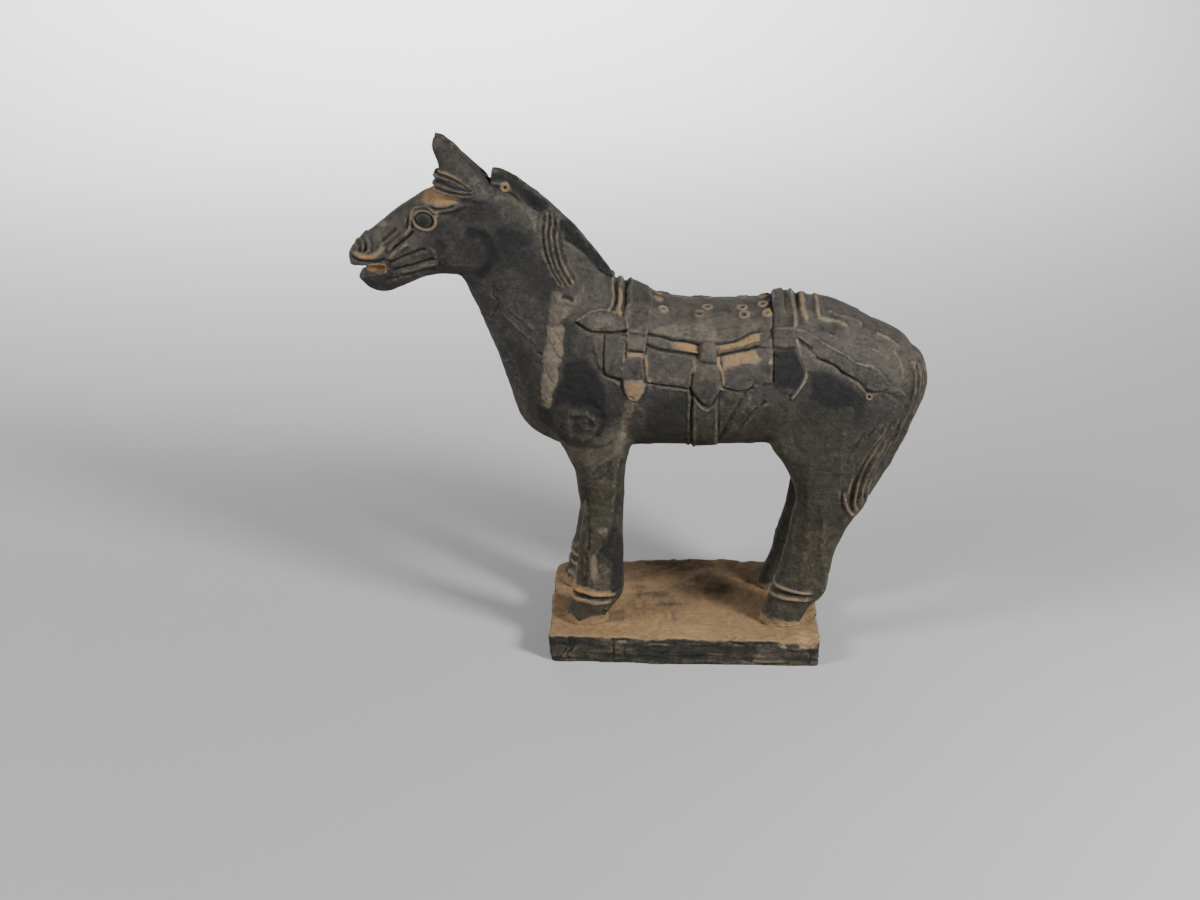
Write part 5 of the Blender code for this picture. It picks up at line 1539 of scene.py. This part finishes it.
def store_tones(surface):
    """Gives the mesh the attributes that the material reads."""
    fine, wide = crests_and_recesses(surface)
    top, dark, light = plinth_top(surface)
    ridge = FINE_RIDGE_SHARE * past(fine, FINE_RIDGE) + WIDE_RIDGE_SHARE * past(wide, WIDE_RIDGE)
    # Painted shade in the recesses, with less of it on the plinth's top.
    wide_recess_shade = WIDE_RECESS_SHADE * short_of(wide, WIDE_RECESS)
    fine_recess_shade = FINE_RECESS_SHADE * short_of(fine, FINE_RECESS)
    recess_shade = np.maximum(wide_recess_shade, fine_recess_shade) * (1 - TOP_RECESS_SHADE_CUT * top)
    store(surface.mesh, "ridge", ridge)
    store(surface.mesh, "worn", np.maximum(surface.worn, TOP_WEAR * top + light))
    store(surface.mesh, "stained_and_shaded", np.maximum(np.maximum(surface.stained_and_shaded, dark), recess_shade))
    store(surface.mesh, "dust_and_top_light", dust_and_top_light(surface))
    store(surface.mesh, "earthy", earthy(surface))


# ---------------------------------------------------------------- material


class Nodes:
    """Short calls for one material's node tree."""

    def __init__(self, name):
        self.material = bpy.data.materials.new(name)
        self.material.use_nodes = True
        self.tree = self.material.node_tree
        self.surface = self.tree.nodes["Principled BSDF"].inputs

    def add(self, kind, inputs=(), **settings):
        node = self.tree.nodes.new(kind)
        for key, value in settings.items():
            setattr(node, key, value)
        for socket, value in dict(inputs).items():
            self.feed(node.inputs[socket], value)
        return node

    def feed(self, socket, value):
        """A linked node's output, or a plain value."""
        if isinstance(value, bpy.types.NodeSocket):
            self.tree.links.new(value, socket)
        else:
            socket.default_value = value

    def read(self, name):
        """An attribute of the mesh."""
        return self.add("ShaderNodeAttribute", attribute_name=name).outputs["Fac"]

    def maths(self, operation, a, b):
        return self.add("ShaderNodeMath", {0: a, 1: b}, operation=operation).outputs[0]

    def times(self, a, b):
        return self.maths("MULTIPLY", a, b)

    def plus(self, a, b):
        return self.maths("ADD", a, b)

    def grain(self, place, kind):
        """Noise from about 0.3 to 0.7, with a size, a detail and a roughness."""
        size, detail, roughness = kind
        inputs = {
            "Vector": place,
            "Scale": 1 / (size * UNIT),
            "Detail": detail,
            "Roughness": roughness,
        }
        return self.add("ShaderNodeTexNoise", inputs).outputs["Fac"]

    def clouds(self, place, kind):
        """A grain made into a share from 0 to 1."""
        grain, low, high = kind
        return self.remap(self.grain(place, grain), low, high)

    def streaks(self, place, kind):
        """Clouds drawn out into thin streaks that run one way."""
        turn, clouds = kind
        inputs = {"Vector": place, "Rotation": turn, "Scale": STREAK_STRETCH}
        along = self.add("ShaderNodeMapping", inputs, vector_type="POINT").outputs["Vector"]
        return self.clouds(along, clouds)

    def remap(self, value, low, high, to_low=0.0, to_high=1.0):
        """The value's range from low to high becomes to_low to to_high, with soft ends."""
        inputs = {0: value, 1: low, 2: high, 3: to_low, 4: to_high}
        node = self.add("ShaderNodeMapRange", inputs, interpolation_type="SMOOTHSTEP")
        return node.outputs[0]

    def blend(self, share, first, second):
        """Between two numbers."""
        node = self.add("ShaderNodeMix", {"Factor": share, 2: first, 3: second}, data_type="FLOAT")
        return node.outputs[0]

    def mix(self, share, first, second):
        """Between two colours."""
        node = self.add("ShaderNodeMix", data_type="RGBA")
        self.feed(node.inputs["Factor"], share)
        self.feed(node.inputs[6], first)
        self.feed(node.inputs[7], second)
        return node.outputs[2]

    def under(self, colour, coats):
        """The colour under thin coats, each with where it lies, its strength and its colour."""
        for where, strength, over in coats:
            colour = self.mix(self.times(where, strength), colour, over)
        return colour


def fired_clay():
    """Charcoal slip over tan clay. The clay shows where attributes of the mesh say."""
    nodes = Nodes("fired_clay")
    place = nodes.add("ShaderNodeTexCoord").outputs["Object"]
    worn = nodes.read("worn")
    browner = nodes.read("earthy")

    clouds = nodes.clouds(place, CLOUDS)
    blotches = nodes.clouds(place, BLOTCHES)
    mottle = nodes.grain(place, MOTTLE)
    speckle = nodes.grain(place, SPECKLE)
    flakes = nodes.grain(place, FLAKES)
    ragged = nodes.plus(nodes.grain(place, RAGGED), -GRAIN_MIDDLE)
    brushed = nodes.blend(browner, nodes.streaks(place, ACROSS), nodes.streaks(place, DOWN))
    scratched = nodes.maths(
        "MAXIMUM", nodes.streaks(place, SLANTED), nodes.streaks(place, CROSSED)
    )
    marks = nodes.times(scratched, clouds)
    ridge = nodes.times(nodes.read("ridge"), nodes.remap(mottle, *RIDGE_BREAKS))

    coat = nodes.under(
        nodes.mix(clouds, CHARCOAL, SLATE),
        (
            (blotches, BROWN_COAT, BROWN),
            (browner, OLIVE_COAT, OLIVE),
            (brushed, BRUSHED_COAT, SLATE),
            (ridge, RIDGE_COAT, RIDGE),
            (marks, MARK_COAT, PALE_DUST_AND_LIGHT),
        ),
    )
    shades = nodes.times(
        nodes.remap(mottle, *MOTTLE_SHADES), nodes.remap(speckle, *SPECKLE_SHADES)
    )
    shades = nodes.times(shades, nodes.remap(flakes, *DARK_FLAKES))
    shades = nodes.times(shades, nodes.remap(flakes, *LIGHT_FLAKES))
    coat = nodes.add("ShaderNodeVectorMath", {0: coat, "Scale": shades}, operation="SCALE")
    # Dust, with painted top light on what faces up.
    patchy_dust_and_light = nodes.times(nodes.read("dust_and_top_light"), nodes.remap(blotches, *DUST_AND_LIGHT_COAT))
    coat = nodes.mix(patchy_dust_and_light, coat.outputs["Vector"], PALE_DUST_AND_LIGHT)

    deeper = nodes.remap(nodes.grain(place, CLAY_CLOUDS), *CLAY_SHADES)
    clay = nodes.mix(deeper, TAN_DEEP, TAN)
    clay = nodes.mix(nodes.times(brushed, CLAY_BRUSHED), clay, TAN_PALE)
    clay = nodes.mix(nodes.remap(flakes, *CLAY_SPECKS), clay, BROWN)
    clay = nodes.mix(nodes.remap(worn, *PALE_WEAR), clay, TAN_PALE)
    bare = nodes.remap(nodes.plus(worn, nodes.times(ragged, WEAR_EDGE)), *BARE)
    rubbed = nodes.mix(nodes.remap(bare, *RUBBED), WORN, clay)
    colour = nodes.mix(bare, coat, rubbed)
    # Stains and painted shade darken the colour towards near black.
    stain_and_shade_level = nodes.plus(nodes.read("stained_and_shaded"), nodes.times(ragged, STAIN_AND_SHADE_EDGE))
    colour = nodes.mix(nodes.remap(stain_and_shade_level, *STAIN_AND_SHADE), colour, SOOT_AND_SHADE)
    nodes.feed(nodes.surface["Base Color"], colour)

    dull = nodes.remap(blotches, 0.0, 1.0, *SLIP_ROUGHNESS)
    nodes.feed(nodes.surface["Roughness"], nodes.blend(bare, dull, CLAY_ROUGHNESS))
    nodes.surface["Specular IOR Level"].default_value = CLAY_SPECULAR

    pits = nodes.add("ShaderNodeTexVoronoi", {"Vector": place, "Scale": 1 / (PIT_SIZE * UNIT)})
    grit = mottle
    for height, share in (
        (speckle, SPECKLE_GRIT),
        (nodes.remap(flakes, *FLAKE_STEP), FLAKE_GRIT),
        (nodes.remap(pits.outputs["Distance"], *PIT_WALL), PIT_GRIT),
        (brushed, BRUSHED_GRIT),
        (marks, MARK_GRIT),
    ):
        grit = nodes.plus(grit, nodes.times(height, share))
    inputs = {"Height": grit, "Strength": 1.0, "Distance": GRIT_DEPTH * UNIT}
    nodes.feed(nodes.surface["Normal"], nodes.add("ShaderNodeBump", inputs).outputs["Normal"])
    return nodes.material


def horse():
    """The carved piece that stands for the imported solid."""
    surface = Surface(rough_figure())
    carve(surface)
    store_tones(surface)
    dense = placed("dense_horse", surface.mesh)
    fewer = dense.modifiers.new("fewer_faces", "DECIMATE")
    fewer.ratio = MOST_TRIANGLES / (2 * len(surface.mesh.polygons))
    mesh = evaluated(dense)
    mesh.transform(Matrix.Scale(UNIT, 4))
    mesh.shade_smooth()
    mesh.materials.append(fired_clay())
    made = placed("pottery_horse", mesh)
    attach(made, "root")
    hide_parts(CAD_NODE)


# ---------------------------------------------------------------- studio


def camera():
    """Looks down at the horse's left side."""
    data = bpy.data.cameras.new("camera")
    data.sensor_width = SENSOR_WIDTH
    data.lens = LENS
    made = placed("camera", data)
    made.location = Vector(CAMERA_PLACE) * UNIT
    made.rotation_euler = [math.radians(turn) for turn in CAMERA_TURN]
    bpy.context.scene.camera = made


def sweep():
    """A round floor that curves up into a low wall, so that no view shows its edge."""
    profile = [(radius, 0.0) for radius in FLOOR_RADII]
    for turn in np.radians(np.arange(SWEEP_STEP, 90 + SWEEP_STEP, SWEEP_STEP)):
        out = FLOOR_RADII[-1] + SWEEP_BEND * math.sin(turn)
        profile.append((out, SWEEP_BEND - SWEEP_BEND * math.cos(turn)))
    vertices = []
    for radius, height in profile:
        for i in range(SWEEP_TURNS):
            angle = 2 * math.pi * i / SWEEP_TURNS
            point = (radius * math.cos(angle), radius * math.sin(angle), height)
            vertices.append([value * UNIT for value in point])
    faces = []
    for row in range(len(profile) - 1):
        for i in range(SWEEP_TURNS):
            j = (i + 1) % SWEEP_TURNS
            a, b = row * SWEEP_TURNS, (row + 1) * SWEEP_TURNS
            faces.append((a + i, b + i, b + j, a + j))
    mesh = bpy.data.meshes.new("floor")
    mesh.from_pydata(vertices, [], faces)
    mesh.shade_smooth()
    paper = Nodes("pale_floor")
    paper.surface["Base Color"].default_value = PAPER
    paper.surface["Roughness"].default_value = PAPER_ROUGHNESS
    mesh.materials.append(paper.material)
    floor = placed("floor", mesh)


def soft_light(name, place, size, watts, aim, spread):
    """A square or oblong soft box, aimed at a point."""
    data = bpy.data.lights.new(name, "AREA")
    data.shape = "RECTANGLE"
    data.size = size[0] * UNIT
    data.size_y = size[1] * UNIT
    data.energy = watts
    data.spread = math.radians(spread)
    made = placed(name, data)
    made.location = Vector(place) * UNIT
    towards = Vector(aim) * UNIT - made.location
    made.rotation_euler = towards.to_track_quat("-Z", "Y").to_euler()
    made.visible_camera = False


def lights():
    """Two soft boxes in front, one on each side, and one far behind that lights the sweep."""
    for row in LIGHTS:
        soft_light(*row)
    world = bpy.data.worlds.new("studio")
    world.use_nodes = True
    background = world.node_tree.nodes["Background"]
    background.inputs["Color"].default_value = WHITE
    background.inputs["Strength"].default_value = WORLD_STRENGTH
    bpy.context.scene.world = world


camera()
sweep()
lights()
horse()
bpy.context.view_layer.update()
